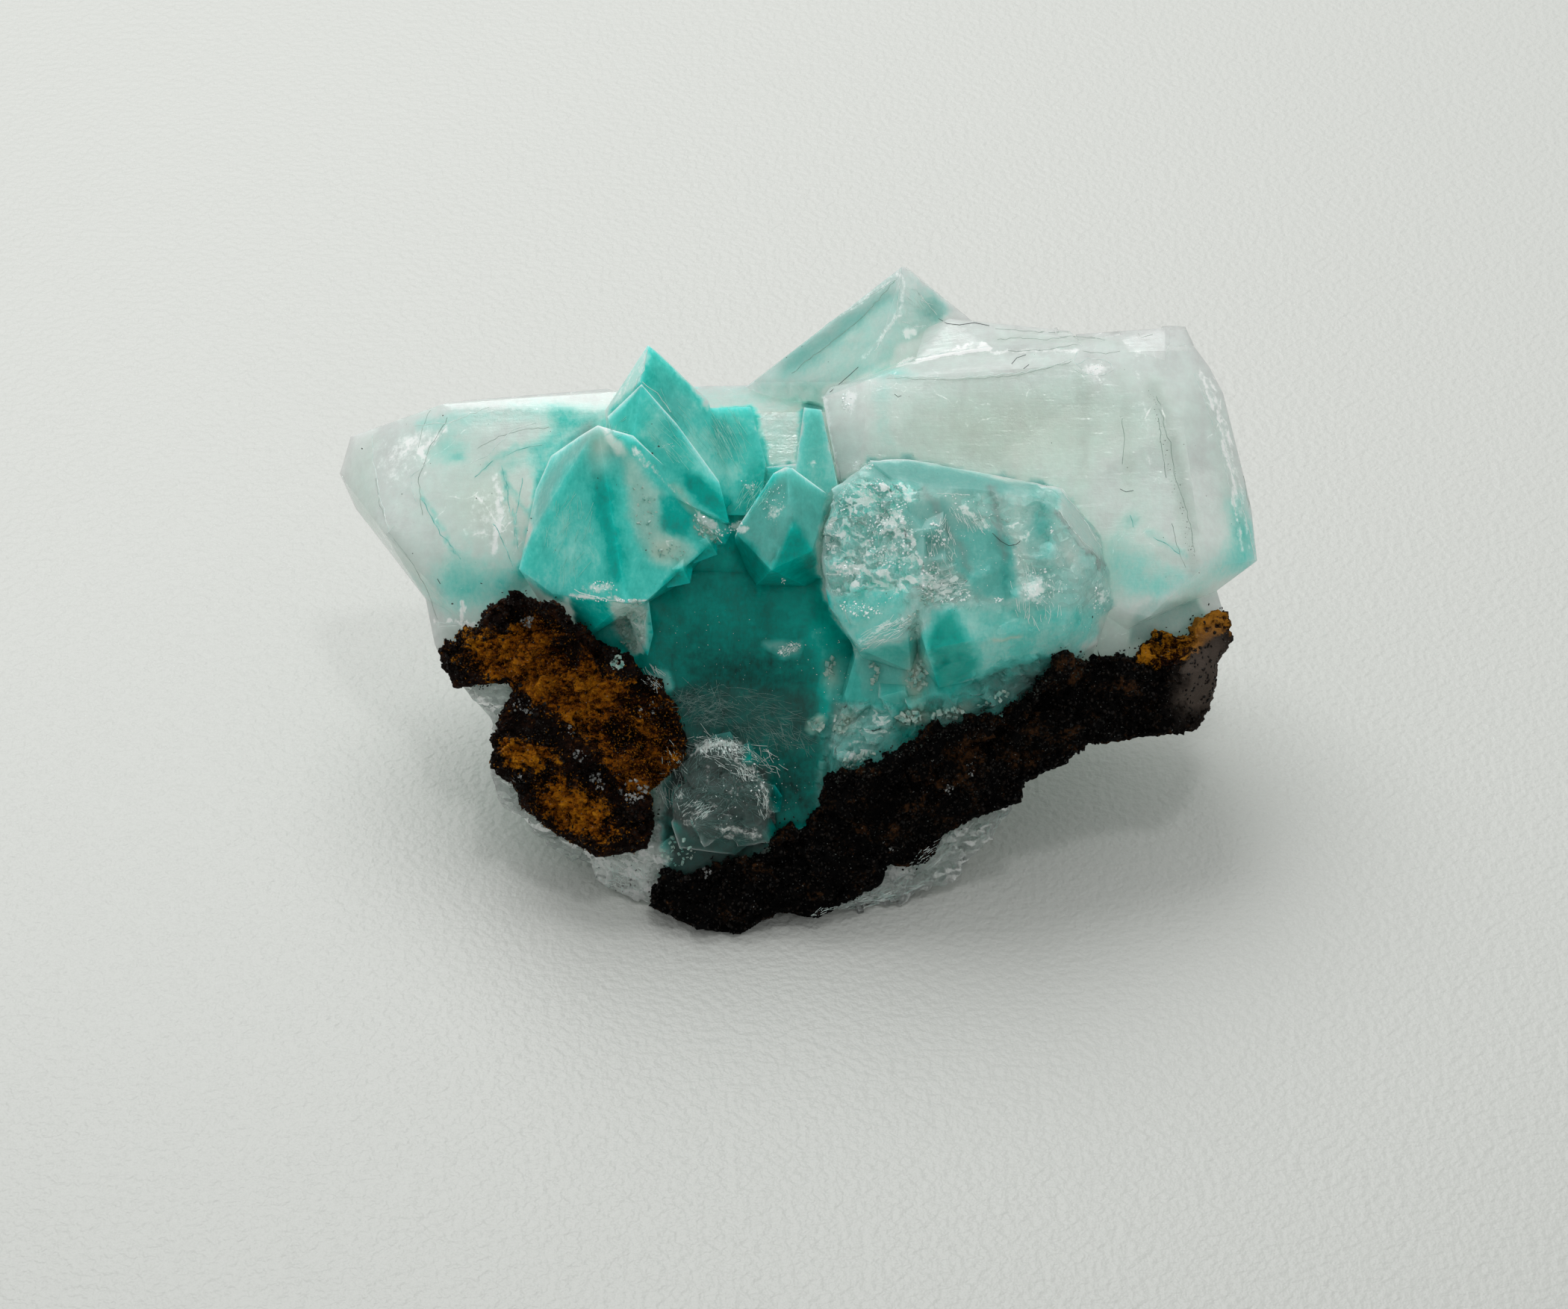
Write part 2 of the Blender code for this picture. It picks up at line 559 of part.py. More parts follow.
def combine(target, other, operation):
    """Applies an exact Boolean to the target and removes the other object."""
    modifier = target.modifiers.new(operation.lower(), "BOOLEAN")
    modifier.operation = operation
    modifier.solver = "EXACT"
    modifier.object = other
    bpy.context.view_layer.update()
    evaluated = target.evaluated_get(bpy.context.evaluated_depsgraph_get())
    mesh = bpy.data.meshes.new_from_object(evaluated)
    target.modifiers.clear()
    target.data = mesh
    bpy.data.objects.remove(other)


def union_of(name, point_sets):
    """One solid from the hulls of several point sets."""
    joined = hull(name, point_sets[0])
    for number, points in enumerate(point_sets[1:]):
        combine(joined, hull(f"{name}_{number}", points), "UNION")
    return joined


def widened(points):
    """The points and their neighbours one gap away."""
    return [point + direction * GAP_REACH for point in points for direction in GAP_DIRECTIONS]


def edge_distance(u, v, outline):
    """Distance from (u, v) to the nearest side of the outline."""
    nearest = PRISM_REACH
    for (au, av), (bu, bv) in zip(outline, outline[1:] + outline[:1]):
        along_u = bu - au
        along_v = bv - av
        length = along_u * along_u + along_v * along_v
        share = max(0.0, min(1.0, ((u - au) * along_u + (v - av) * along_v) / length))
        nearest = min(nearest, hypot(u - au - share * along_u, v - av - share * along_v))
    return nearest


def blended_height(u, v, heights):
    """Height at (u, v) as the inverse-square blend of the given heights."""
    total = 0.0
    weight_sum = 0.0
    for mark_u, mark_v, mark_w in heights:
        weight = 1.0 / (0.2 + (u - mark_u) ** 2 + (v - mark_v) ** 2) ** 1.5
        total += weight * mark_w
        weight_sum += weight
    return total / weight_sum


def calcite_height(tree, u, v):
    """Outward height of the calcite surface behind (u, v), or None beside it."""
    start = on_front(u, v, RAY_START) * MM
    hit = tree.ray_cast(start, -OUT_FRONT)[0]
    return None if hit is None else (hit / MM).dot(OUT_FRONT)


def crust_height(crust, tree, u, v):
    """Outward height of the crust's front at (u, v)."""
    marked = blended_height(u, v, crust.heights)
    near = [
        calcite_height(tree, u + du, v + dv)
        for du in (-CRUST_GRID / 2, CRUST_GRID / 2)
        for dv in (-CRUST_GRID / 2, CRUST_GRID / 2)
    ]
    covered = [w + CRUST_COVER for w in near if w is not None]
    lump = noise.noise(Vector((u / LUMP_SIZE, v / LUMP_SIZE, crust.seed)))
    grit = noise.noise(Vector((u / GRIT_SIZE, v / GRIT_SIZE, -crust.seed)))
    height = marked + crust.lump * (lump + 0.5 * grit)
    for pit_u, pit_v, radius, drop in crust.pits:
        height -= drop * exp(-((u - pit_u) ** 2 + (v - pit_v) ** 2) / radius**2)
    height -= 0.5 * exp(-edge_distance(u, v, crust.outline) / CRUST_EDGE_WIDTH)
    return max([height] + covered)


def crust_slab(crust, tree):
    """Closed slab under the crust's front heights, over the outline's bounding rectangle."""
    us = [u for u, _ in crust.outline]
    vs = [v for _, v in crust.outline]
    columns = int((max(us) - min(us)) / CRUST_GRID) + 4
    rows = int((max(vs) - min(vs)) / CRUST_GRID) + 4
    builder = bmesh.new()
    front = {}
    back = {}
    for column in range(columns):
        for row in range(rows):
            u = min(us) + (column - 1.0 + 0.25 * (row % 2)) * CRUST_GRID
            v = min(vs) + (row - 1.0) * CRUST_GRID
            height = crust_height(crust, tree, u, v)
            front[column, row] = builder.verts.new(on_front(u, v, height) * MM)
            back[column, row] = builder.verts.new(on_front(u, v, height - crust.depth) * MM)
    for column in range(columns - 1):
        for row in range(rows - 1):
            cell = [(column, row), (column + 1, row), (column + 1, row + 1), (column, row + 1)]
            a, b, c, d = (front[key] for key in cell)
            builder.faces.new((a, b, c))
            builder.faces.new((a, c, d))
            a, b, c, d = (back[key] for key in cell)
            builder.faces.new((c, b, a))
            builder.faces.new((d, c, a))
    rim = [(column, 0) for column in range(columns)]
    rim += [(columns - 1, row) for row in range(1, rows)]
    rim += [(column, rows - 1) for column in range(columns - 2, -1, -1)]
    rim += [(0, row) for row in range(rows - 2, 0, -1)]
    for here, there in zip(rim, rim[1:] + rim[:1]):
        builder.faces.new((front[there], front[here], back[here], back[there]))
    bmesh.ops.triangulate(builder, faces=builder.faces[:])
    return new_object(crust.name, builder)


def outline_prism(name, outline):
    """Prism that carries the outline straight through the front frame."""
    builder = bmesh.new()
    low = [builder.verts.new(on_front(u, v, -PRISM_REACH) * MM) for u, v in outline]
    high = [builder.verts.new(on_front(u, v, PRISM_REACH) * MM) for u, v in outline]
    for number, here in enumerate(low):
        there = (number + 1) % len(outline)
        builder.faces.new((here, low[there], high[there], high[number]))
    builder.faces.new(low)
    builder.faces.new(high)
    return new_object(name, builder)


def ground_block():
    """Solid below the ground plane."""
    corners = [
        Vector((x, y, z))
        for x in (-GROUND_HALF, GROUND_HALF)
        for y in (-GROUND_HALF, GROUND_HALF)
        for z in (-GROUND_HALF, 0.0)
    ]
    return hull("ground", corners)


def keep_largest(obj):
    """Removes every island of the mesh but the one with the most faces."""
    builder = bmesh.new()
    builder.from_mesh(obj.data)
    left = set(builder.verts)
    islands = []
    while left:
        stack = [left.pop()]
        island = set(stack)
        while stack:
            for edge in stack.pop().link_edges:
                for vert in edge.verts:
                    if vert in left:
                        left.remove(vert)
                        island.add(vert)
                        stack.append(vert)
        islands.append(island)
    islands.sort(key=len)
    for island in islands[:-1]:
        bmesh.ops.delete(builder, geom=list(island), context="VERTS")
    builder.to_mesh(obj.data)
    builder.free()


def build_crust(crust, tree):
    """The crust plate, cut to its outline and set one gap off the calcite and onto the ground."""
    plate = crust_slab(crust, tree)
    combine(plate, outline_prism("outline", crust.outline), "INTERSECT")
    room = [widened(solid.points()) for solid in CRYSTALS + CLEAVAGE_STEPS]
    combine(plate, union_of("calcite_room", room), "DIFFERENCE")
    combine(plate, ground_block(), "DIFFERENCE")
    keep_largest(plate)
    return plate


def finish(obj, name, colour, roughness):
    """Gives the object one plain material."""
    material = bpy.data.materials.new(name)
    material.use_nodes = True
    shader = material.node_tree.nodes["Principled BSDF"]
    shader.inputs["Base Color"].default_value = (*colour, 1.0)
    shader.inputs["Roughness"].default_value = roughness
    shader.inputs["Metallic"].default_value = 0.0
    obj.data.materials.clear()
    obj.data.materials.append(material)


def recentre(objects):
    """Moves the meshes so that the origin lies under the middle of their shared box."""
    points = [vert.co for obj in objects for vert in obj.data.vertices]
    low = Vector([min(point[axis] for point in points) for axis in range(3)])
    high = Vector([max(point[axis] for point in points) for axis in range(3)])
    shift = Vector((-(low.x + high.x) / 2, -(low.y + high.y) / 2, -low.z))
    for obj in objects:
        for vert in obj.data.vertices:
            vert.co += shift


def main():
    for obj in list(bpy.data.objects):
        bpy.data.objects.remove(obj)
    calcite = union_of("calcite_cluster", [solid.points() for solid in CRYSTALS + CLEAVAGE_STEPS])
    keep_largest(calcite)
    builder = bmesh.new()
    builder.from_mesh(calcite.data)
    tree = BVHTree.FromBMesh(builder)
    builder.free()
    limonite = build_crust(LIMONITE, tree)
    goethite = build_crust(GOETHITE, tree)
    finish(calcite, "calcite", (0.34, 0.66, 0.60), 0.25)
    finish(limonite, "limonite", (0.21, 0.075, 0.012), 0.85)
    finish(goethite, "goethite", (0.018, 0.012, 0.009), 0.6)
    recentre([calcite, limonite, goethite])


main()
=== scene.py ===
"""Calcite with aurichalcite inclusions on a limonite and goethite matrix.

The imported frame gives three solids: the intergrown calcite, the rusty limonite crust on its left and
the black goethite seam on its right. This script dresses them: it refines each mesh, paints the zones
of colour, haze and frost into it, and adds the fine matter that lies on it.
"""

import logging
import math
from dataclasses import dataclass
from enum import Enum
from typing import Any, Callable, Sequence

import bpy
import numpy as np
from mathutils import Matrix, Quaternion, Vector
from mathutils.bvhtree import BVHTree
from mathutils.kdtree import KDTree


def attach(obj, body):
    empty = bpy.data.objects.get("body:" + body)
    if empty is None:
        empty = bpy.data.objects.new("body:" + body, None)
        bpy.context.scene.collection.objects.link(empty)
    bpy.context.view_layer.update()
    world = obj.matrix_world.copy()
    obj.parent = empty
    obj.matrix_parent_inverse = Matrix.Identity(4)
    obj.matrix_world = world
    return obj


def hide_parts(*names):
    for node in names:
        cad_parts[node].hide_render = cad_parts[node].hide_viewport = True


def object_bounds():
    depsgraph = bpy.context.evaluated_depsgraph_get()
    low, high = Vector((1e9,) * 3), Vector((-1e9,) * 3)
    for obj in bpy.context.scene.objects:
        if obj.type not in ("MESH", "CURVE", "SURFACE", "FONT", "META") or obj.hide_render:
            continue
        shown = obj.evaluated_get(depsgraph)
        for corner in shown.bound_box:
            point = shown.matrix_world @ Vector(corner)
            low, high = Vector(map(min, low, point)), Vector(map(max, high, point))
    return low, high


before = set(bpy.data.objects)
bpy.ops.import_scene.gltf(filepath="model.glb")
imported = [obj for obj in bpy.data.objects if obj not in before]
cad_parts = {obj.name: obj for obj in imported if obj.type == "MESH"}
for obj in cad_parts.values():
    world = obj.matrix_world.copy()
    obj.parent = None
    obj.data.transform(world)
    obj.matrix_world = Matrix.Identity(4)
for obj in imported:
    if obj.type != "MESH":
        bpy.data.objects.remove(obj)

MM = 0.001
PASSES = 6
Pixel = tuple[float, float]
Colour = tuple[float, float, float]
log = logging.getLogger("calcite")


class Trait(Enum):
    """What is painted into the calcite, each as a number from 0 to 1."""

    AQUA = "aqua"
    MILK = "milk"
    FROST = "frost"
    GREY = "grey"
    WHITE = "white"
    WARM = "warm"


@dataclass(frozen=True)
class FrontView:
    """The camera that sees the piece as photographed. Lengths are in millimetres.

    Attributes:
        elevation: Angle of the line of sight above the floor, in degrees.
        distance: Distance from the camera to the point it looks at.
        target: The point it looks at.
        width: Width of the frame at that point.
        pixels: Size of the photographed frame.
    """

    elevation: float = 40.0
    distance: float = 240.0
    target: tuple[float, float, float] = (-0.493, -4.015, 11.154)
    width: float = 82.085
    pixels: tuple[float, float] = (2100.0, 1753.0)

    @property
    def sight(self) -> np.ndarray:
        """Direction of view."""
        angle = math.radians(self.elevation)
        return np.array([0.0, math.cos(angle), -math.sin(angle)])

    @property
    def up(self) -> np.ndarray:
        """Direction that is up in the frame."""
        angle = math.radians(self.elevation)
        return np.array([0.0, math.sin(angle), math.cos(angle)])

    @property
    def eye(self) -> np.ndarray:
        """Place of the camera."""
        return np.array(self.target) - self.distance * self.sight

    def project(self, points: np.ndarray) -> np.ndarray:
        """Finds where points are in the frame.

        Args:
            points: Points in millimetres, one per row.

        Returns:
            Their pixel positions, one per row.
        """
        offset = points - self.eye
        scale = self.distance * self.pixels[0] / self.width / (offset @ self.sight)
        across = self.pixels[0] / 2 + offset[:, 0] * scale
        down = self.pixels[1] / 2 - (offset @ self.up) * scale
        return np.stack([across, down], -1)

    def direction(self, pixel: Pixel) -> np.ndarray:
        """Finds the direction from the camera through a pixel.

        Args:
            pixel: Position in the photographed frame.

        Returns:
            A unit vector.
        """
        across = (pixel[0] - self.pixels[0] / 2) * self.width / self.pixels[0]
        down = (pixel[1] - self.pixels[1] / 2) * self.width / self.pixels[0]
        ray = self.sight * self.distance + np.array([across, 0.0, 0.0]) - self.up * down
        return ray / np.linalg.norm(ray)


FRONT = FrontView()
BOX = np.array([list(corner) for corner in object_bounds()]) / MM


# Numeric patterns


def hashed(cells: np.ndarray, seed: int) -> np.ndarray:
    """Gives each lattice cell a repeatable random number.

    Args:
        cells: Whole-numbered cell positions, one per row.
        seed: Picks the set of numbers.

    Returns:
        Numbers from 0 to 1.
    """
    cell = cells.astype(np.int64)
    mixed = (cell[..., 0] * 73856093) ^ (cell[..., 1] * 19349663) ^ (cell[..., 2] * 83492791)
    mixed = (mixed ^ (seed * 2654435761)) & 0xFFFFFFFF
    mixed = ((mixed ^ (mixed >> 13)) * 1274126177) & 0xFFFFFFFF
    mixed = ((mixed ^ (mixed >> 16)) * 2246822519) & 0xFFFFFFFF
    return (mixed ^ (mixed >> 15)) / float(0xFFFFFFFF)


def value_noise(points: np.ndarray, size: float, seed: int) -> np.ndarray:
    """Makes smooth noise from -1 to 1.

    Args:
        points: Points in millimetres.
        size: Size of its features in millimetres.
        seed: Picks the pattern.

    Returns:
        One number per point.
    """
    scaled = points / size
    base = np.floor(scaled)
    share = scaled - base
    share = share * share * (3 - 2 * share)
    total = np.zeros(len(points))
    for corner in np.ndindex(2, 2, 2):
        weight = np.prod(np.where(np.array(corner) == 1, share, 1 - share), axis=1)
        total += weight * hashed(base + np.array(corner), seed)
    return total * 2 - 1


def fractal(points: np.ndarray, size: float, seed: int, octaves: int = 4) -> np.ndarray:
    """Adds octaves of smooth noise.

    Args:
        points: Points in millimetres.
        size: Size of the largest features in millimetres.
        seed: Picks the pattern.
        octaves: Number of layers, each half as large and as strong as the last.

    Returns:
        One number per point.
    """
    return sum(value_noise(points, size / 2**n, seed + n) / 2**n for n in range(octaves))


def nearest_cell(points: np.ndarray, size: float, seed: int) -> tuple[np.ndarray, np.ndarray]:
    """Finds the nearest of a set of scattered cell centres.

    Args:
        points: Points in millimetres.
        size: Spacing of the centres in millimetres.
        seed: Picks the scatter.

    Returns:
        A random vector from -0.5 to 0.5 for each point's cell, and the offset from the cell's centre.
    """
    scaled = points / size
    base = np.floor(scaled)
    best = np.full(len(points), np.inf)
    lean = np.zeros_like(points)
    away = np.zeros_like(points)
    for step in np.ndindex(3, 3, 3):
        cell = base + np.array(step) - 1
        offset = scaled - cell - np.stack([hashed(cell, seed + n) for n in (1, 2, 3)], -1)
        distance = (offset * offset).sum(1)
        closer = (distance < best)[:, None]
        lean = np.where(closer, np.stack([hashed(cell, seed + n) for n in (4, 5, 6)], -1) - 0.5, lean)
        away = np.where(closer, offset, away)
        best = np.minimum(best, distance)
    return lean, away * size


# Painted zones, in pixels of the photographed frame


def close_to(pixels: np.ndarray, corners: np.ndarray, margin: float) -> np.ndarray:
    """Picks the pixels within the box around some corners.

    Args:
        pixels: Pixel positions.
        corners: The corners.
        margin: How far outside the box still counts.

    Returns:
        Their indices.
    """
    low, high = corners.min(0) - margin, corners.max(0) + margin
    return np.flatnonzero(((pixels >= low) & (pixels <= high)).all(1))


@dataclass(frozen=True)
class Patch:
    """An outlined zone that sets traits.

    Attributes:
        outline: Its corners.
        sets: The value of each trait inside it.
        blur: Width of its soft border.
    """

    outline: tuple[Pixel, ...]
    sets: dict[Trait, float]
    blur: float = 4.0

    def paint(self, pixels: np.ndarray, traits: dict[Trait, np.ndarray]) -> None:
        """Sets the traits inside the outline.

        Args:
            pixels: Where each vertex is seen.
            traits: The values to change.
        """
        corners = np.array(self.outline, float)
        near = close_to(pixels, corners, self.blur)
        pixels = pixels[near]
        nearest = np.full(len(pixels), np.inf)
        inside = np.zeros(len(pixels), bool)
        for start, end in zip(corners, np.roll(corners, -1, 0)):
            side = end - start
            along = np.clip((pixels - start) @ side / (side @ side), 0, 1)
            offset = pixels - start - along[:, None] * side
            nearest = np.minimum(nearest, (offset * offset).sum(1))
            crosses = (start[1] > pixels[:, 1]) != (end[1] > pixels[:, 1])
            rise = side[1] if side[1] else 1e-9
            inside ^= crosses & (pixels[:, 0] < start[0] + (pixels[:, 1] - start[1]) * side[0] / rise)
        depth = np.sqrt(nearest) * np.where(inside, 1, -1)
        share = np.clip(0.5 + depth / (2 * self.blur), 0, 1)
        for trait, value in self.sets.items():
            traits[trait][near] += share * (value - traits[trait][near])


@dataclass(frozen=True)
class Spot:
    """A soft oval that adds to a trait.

    Attributes:
        trait: What it adds to.
        amount: How much it adds in the middle.
        x: Its middle, across.
        y: Its middle, down.
        width: Half its width.
        height: Half its height.
        turn: How far it is turned, clockwise, in degrees.
    """

    trait: Trait
    amount: float
    x: float
    y: float
    width: float
    height: float
    turn: float = 0.0

    def paint(self, pixels: np.ndarray, traits: dict[Trait, np.ndarray]) -> None:
        """Adds to the trait around the spot.

        Args:
            pixels: Where each vertex is seen.
            traits: The values to change.
        """
        angle = math.radians(self.turn)
        middle = np.array([[self.x, self.y]])
        near = close_to(pixels, middle, 2.5 * max(self.width, self.height))
        offset = pixels[near] - middle
        across = (offset[:, 0] * math.cos(angle) + offset[:, 1] * math.sin(angle)) / self.width
        down = (offset[:, 1] * math.cos(angle) - offset[:, 0] * math.sin(angle)) / self.height
        traits[self.trait][near] += self.amount * np.exp(-(across**2) - down**2)


@dataclass(frozen=True)
class Streak:
    """A soft line that adds to a trait.

    Attributes:
        trait: What it adds to.
        amount: How much it adds on the line.
        width: Half its width.
        path: Its points.
    """

    trait: Trait
    amount: float
    width: float
    path: tuple[Pixel, ...]

    def paint(self, pixels: np.ndarray, traits: dict[Trait, np.ndarray]) -> None:
        """Adds to the trait along the line.

        Args:
            pixels: Where each vertex is seen.
            traits: The values to change.
        """
        points = np.array(self.path, float)
        near = close_to(pixels, points, 2.5 * self.width)
        pixels = pixels[near]
        nearest = np.full(len(pixels), np.inf)
        for start, end in zip(points[:-1], points[1:]):
            side = end - start
            along = np.clip((pixels - start) @ side / (side @ side), 0, 1)
            offset = pixels - start - along[:, None] * side
            nearest = np.minimum(nearest, (offset * offset).sum(1))
        traits[self.trait][near] += self.amount * np.exp(-nearest / self.width**2)


AQUA, MILK, FROST, GREY, WHITE, WARM = Trait
CLEAR = {AQUA: 0.1, MILK: 0.62, FROST: 0.1, GREY: 0.0, WHITE: 0.1, WARM: 0.0}
LEFT_CRYSTAL = (
    Patch(
        ((430, 560), (592, 520), (840, 500), (840, 560), (738, 612), (715, 660), (716, 710), (690, 765)) + ((640, 800), (600, 885), (560, 885), (430, 700)),
        {AQUA: 0.1, MILK: 0.62, FROST: 0.1, GREY: 0.0, WHITE: 0.15, WARM: 0.0},
        6,
    ),
    # Grey at the left crystal's left rim: a grey frosted tip facet, darkened further as painted shade along the
    # silhouette.
    Patch(((430, 560), (506, 569), (498, 606), (500, 645), (503, 679), (516, 714), (430, 714)), {GREY: 0.42, FROST: 0.25, MILK: 0.8, WHITE: 0.0}, 2.5),
    Spot(WHITE, 0.3, 530, 625, 30, 44, 20),
    Spot(WHITE, 0.3, 560, 590, 45, 18, -20),
    Spot(AQUA, 0.12, 600, 600, 30, 26),
    Spot(AQUA, 0.2, 616, 616, 9, 7),
    Spot(WARM, 0.2, 655, 680, 50, 40),
    Spot(WHITE, 0.3, 655, 690, 60, 40),
    Spot(AQUA, 0.14, 690, 615, 34, 16, -10),
    Spot(AQUA, 0.28, 672, 782, 66, 34, -15),
    Spot(AQUA, 0.18, 604, 775, 34, 48, 30),
    Streak(AQUA, 0.24, 3.5, ((674, 636), (678, 655), (676, 675))),
    Streak(AQUA, 0.22, 3.5, ((680, 652), (696, 672), (714, 698))),
    Streak(AQUA, 0.2, 3.0, ((686, 690), (689, 708), (688, 728))),
    Streak(AQUA, 0.18, 3.0, ((560, 660), (585, 700), (610, 738))),
    Streak(AQUA, 0.14, 3.0, ((640, 640), (660, 615), (690, 598), (720, 600))),
    Streak(WHITE, 0.5, 3.0, ((665, 640), (668, 700), (660, 740))),
    Streak(WHITE, 0.5, 3.0, ((568, 640), (572, 620), (565, 604), (598, 575))),
    Patch(((740, 548), (815, 549), (800, 566), (738, 612), (720, 640), (712, 600), (735, 575)), {AQUA: 0.4, WHITE: 0.0, MILK: 0.7}, 12),
    Patch(((575, 845), (619, 843), (645, 840), (640, 870), (575, 880)), {GREY: 0.5, WHITE: 0.0, AQUA: 0.12}, 3),
    Streak(WHITE, 0.9, 2.5, ((584, 834), (618, 836), (640, 835))),
    Streak(WHITE, 0.9, 2.5, ((618, 806), (619, 842))),
    Streak(GREY, 0.3, 4.0, ((505, 566), (560, 548), (600, 530), (700, 520), (800, 514))),
    # Painted shade: a darker rim along the left crystal's lower edge.
    Streak(GREY, 0.25, 9.0, ((520, 714), (560, 765), (590, 800))),
    Streak(AQUA, 0.1, 12.0, ((560, 570), (600, 560), (680, 552), (760, 545))),
)
BACK_ROW = (
    Patch(((838, 500), (1120, 496), (1120, 660), (1000, 660), (1005, 545), (940, 545), (900, 520)), {AQUA: 0.18, MILK: 0.62, WHITE: 0.08, GREY: 0.02}, 3),
    Streak(WHITE, 0.35, 3.0, ((830, 522), (980, 518), (1110, 512))),
    Streak(GREY, 0.3, 3.0, ((830, 512), (980, 508), (1080, 506))),
    Streak(WARM, 0.3, 3.0, ((1005, 552), (1070, 549))),
    Patch(((990, 520), (1212, 345), (1290, 430), (1160, 510), (1110, 522)), {AQUA: 0.21, MILK: 0.6, GREY: 0.1, WHITE: 0.05}, 4),
    Streak(AQUA, 0.15, 14.0, ((1060, 488), (1120, 445), (1185, 400))),
    Streak(GREY, 0.3, 12.0, ((1050, 492), (1120, 443), (1190, 390))),
    Streak(GREY, 0.25, 5.0, ((1010, 510), (1110, 440), (1200, 366))),
    Streak(WHITE, 0.4, 7.0, ((1040, 478), (1120, 425), (1200, 368))),
    Streak(WHITE, 0.5, 5.0, ((1208, 372), (1203, 420), (1160, 480))),
    Spot(WHITE, 0.6, 1220, 445, 22, 14, -20),
    Spot(AQUA, 0.12, 1250, 410, 18, 26, 30),
    Spot(GREY, 0.25, 1250, 410, 18, 26, 30),
)
BLOCK = (
    Patch(
        ((1100, 520), (1165, 500), (1272, 418), (1600, 420), (1660, 560), (1720, 800), (1640, 860), (1480, 880)) + ((1440, 640), (1160, 600), (1125, 665)),
        {AQUA: 0.08, MILK: 0.66, FROST: 0.1, GREY: 0.0, WHITE: 0.15, WARM: 0.0},
        4,
    ),
    # Painted highlight along the block's top ledge.
    Streak(WHITE, 1.0, 3.5, ((1203, 489), (1262, 473), (1322, 463))),
    Streak(WHITE, 0.5, 4.0, ((1325, 470), (1400, 474), (1446, 468))),
    Streak(GREY, 0.3, 3.0, ((1180, 509), (1320, 507), (1440, 489))),
    Spot(AQUA, 0.16, 1192, 501, 34, 9),
    Spot(WHITE, 0.8, 1137, 538, 9, 15),
    Streak(WHITE, 0.7, 4.0, ((1103, 532), (1112, 590), (1126, 650))),
    Spot(WHITE, 0.6, 1147, 632, 12, 18),
    Spot(WHITE, 0.6, 1470, 492, 20, 11),
    Spot(FROST, 0.5, 1470, 492, 20, 11),
    Spot(WHITE, 0.2, 1545, 470, 16, 20),
    Spot(GREY, 0.14, 1420, 555, 170, 34),
    Spot(WARM, 0.2, 1330, 580, 130, 50),
    Streak(GREY, 0.3, 10.0, ((1545, 520), (1570, 600), (1590, 690), (1600, 760))),
    Streak(WHITE, 0.6, 3.0, ((1610, 500), (1632, 560), (1650, 640), (1664, 740))),
    Streak(WHITE, 0.5, 2.5, ((1622, 505), (1642, 570), (1660, 650), (1674, 740))),
    Streak(GREY, 0.16, 9.0, ((1448, 500), (1452, 570), (1446, 640))),
    Streak(GREY, 0.12, 8.0, ((1500, 500), (1508, 580), (1512, 660))),
    Streak(WHITE, 0.3, 6.0, ((1520, 470), (1534, 560), (1546, 660))),
    Streak(GREY, 0.2, 5.0, ((1340, 452), (1400, 456), (1450, 452), (1500, 456))),
    Streak(AQUA, 0.08, 14.0, ((1180, 520), (1182, 580), (1190, 610))),
    Patch(((1478, 715), (1500, 700), (1522, 730), (1562, 742), (1600, 765), (1618, 792), (1560, 802), (1512, 818), (1482, 800)), {AQUA: 0.2, WHITE: 0.2}, 14),
    Spot(AQUA, 0.34, 1664, 712, 20, 52, -10),
    Spot(AQUA, 0.2, 1640, 760, 40, 24, -20),
    Spot(AQUA, 0.1, 1500, 765, 34, 22, 10),
    Spot(AQUA, 0.1, 1545, 785, 34, 16, -10),
    Spot(AQUA, 0.16, 1518, 697, 9, 12),
    Streak(AQUA, 0.16, 5.0, ((1540, 715), (1565, 730), (1590, 745))),
    Patch(((1513, 832), (1548, 803), (1600, 800), (1622, 835), (1590, 850), (1515, 862)), {GREY: 0.45, AQUA: 0.25, WHITE: 0.0}, 4),
)
TEAL_CROWN = (
    Patch(
        ((815, 548), (869, 455), (946, 538), (938, 548), (1008, 540), (1030, 620), (1010, 690), (960, 720), (900, 760), (800, 660)),
        {AQUA: 0.5, MILK: 0.85, FROST: 0.12, GREY: 0.0, WHITE: 0.0, WARM: 0.0},
        2.5,
    ),
    Patch(((812, 549), (869, 458), (866, 485), (855, 512), (835, 535)), {AQUA: 0.3, WHITE: 0.45, GREY: 0.2}, 2.5),
    Patch(((866, 488), (880, 500), (878, 520), (862, 515)), {AQUA: 0.56}, 2),
    Streak(WHITE, 0.4, 2.5, ((857, 511), (876, 525), (898, 556))),
    Patch(((853, 585), (905, 520), (950, 555), (1000, 640), (985, 660), (930, 632)), {AQUA: 0.42, WHITE: 0.05}, 5),
    Patch(((916, 636), (940, 640), (1000, 690), (990, 706), (960, 706), (915, 668)), {AQUA: 0.66, WHITE: 0.0}, 5),
    Patch(((938, 548), (1006, 543), (1024, 616), (1010, 650), (960, 585)), {AQUA: 0.5, WHITE: 0.05}, 3),
    Streak(WHITE, 0.25, 3.0, ((955, 555), (975, 600), (990, 640))),
    Streak(WHITE, 0.2, 3.0, ((975, 550), (995, 590), (1004, 630))),
    Patch(((985, 640), (1024, 622), (1052, 626), (1000, 700), (985, 700)), {AQUA: 0.58}, 5),
    Spot(WHITE, 0.5, 1003, 652, 14, 12),
    Spot(AQUA, 0.07, 905, 590, 14, 50, -10),
    Spot(AQUA, -0.07, 875, 560, 16, 40, -20),
    Spot(AQUA, -0.06, 935, 600, 12, 30, -20),
    Spot(GREY, 0.16, 905, 545, 30, 30),
)
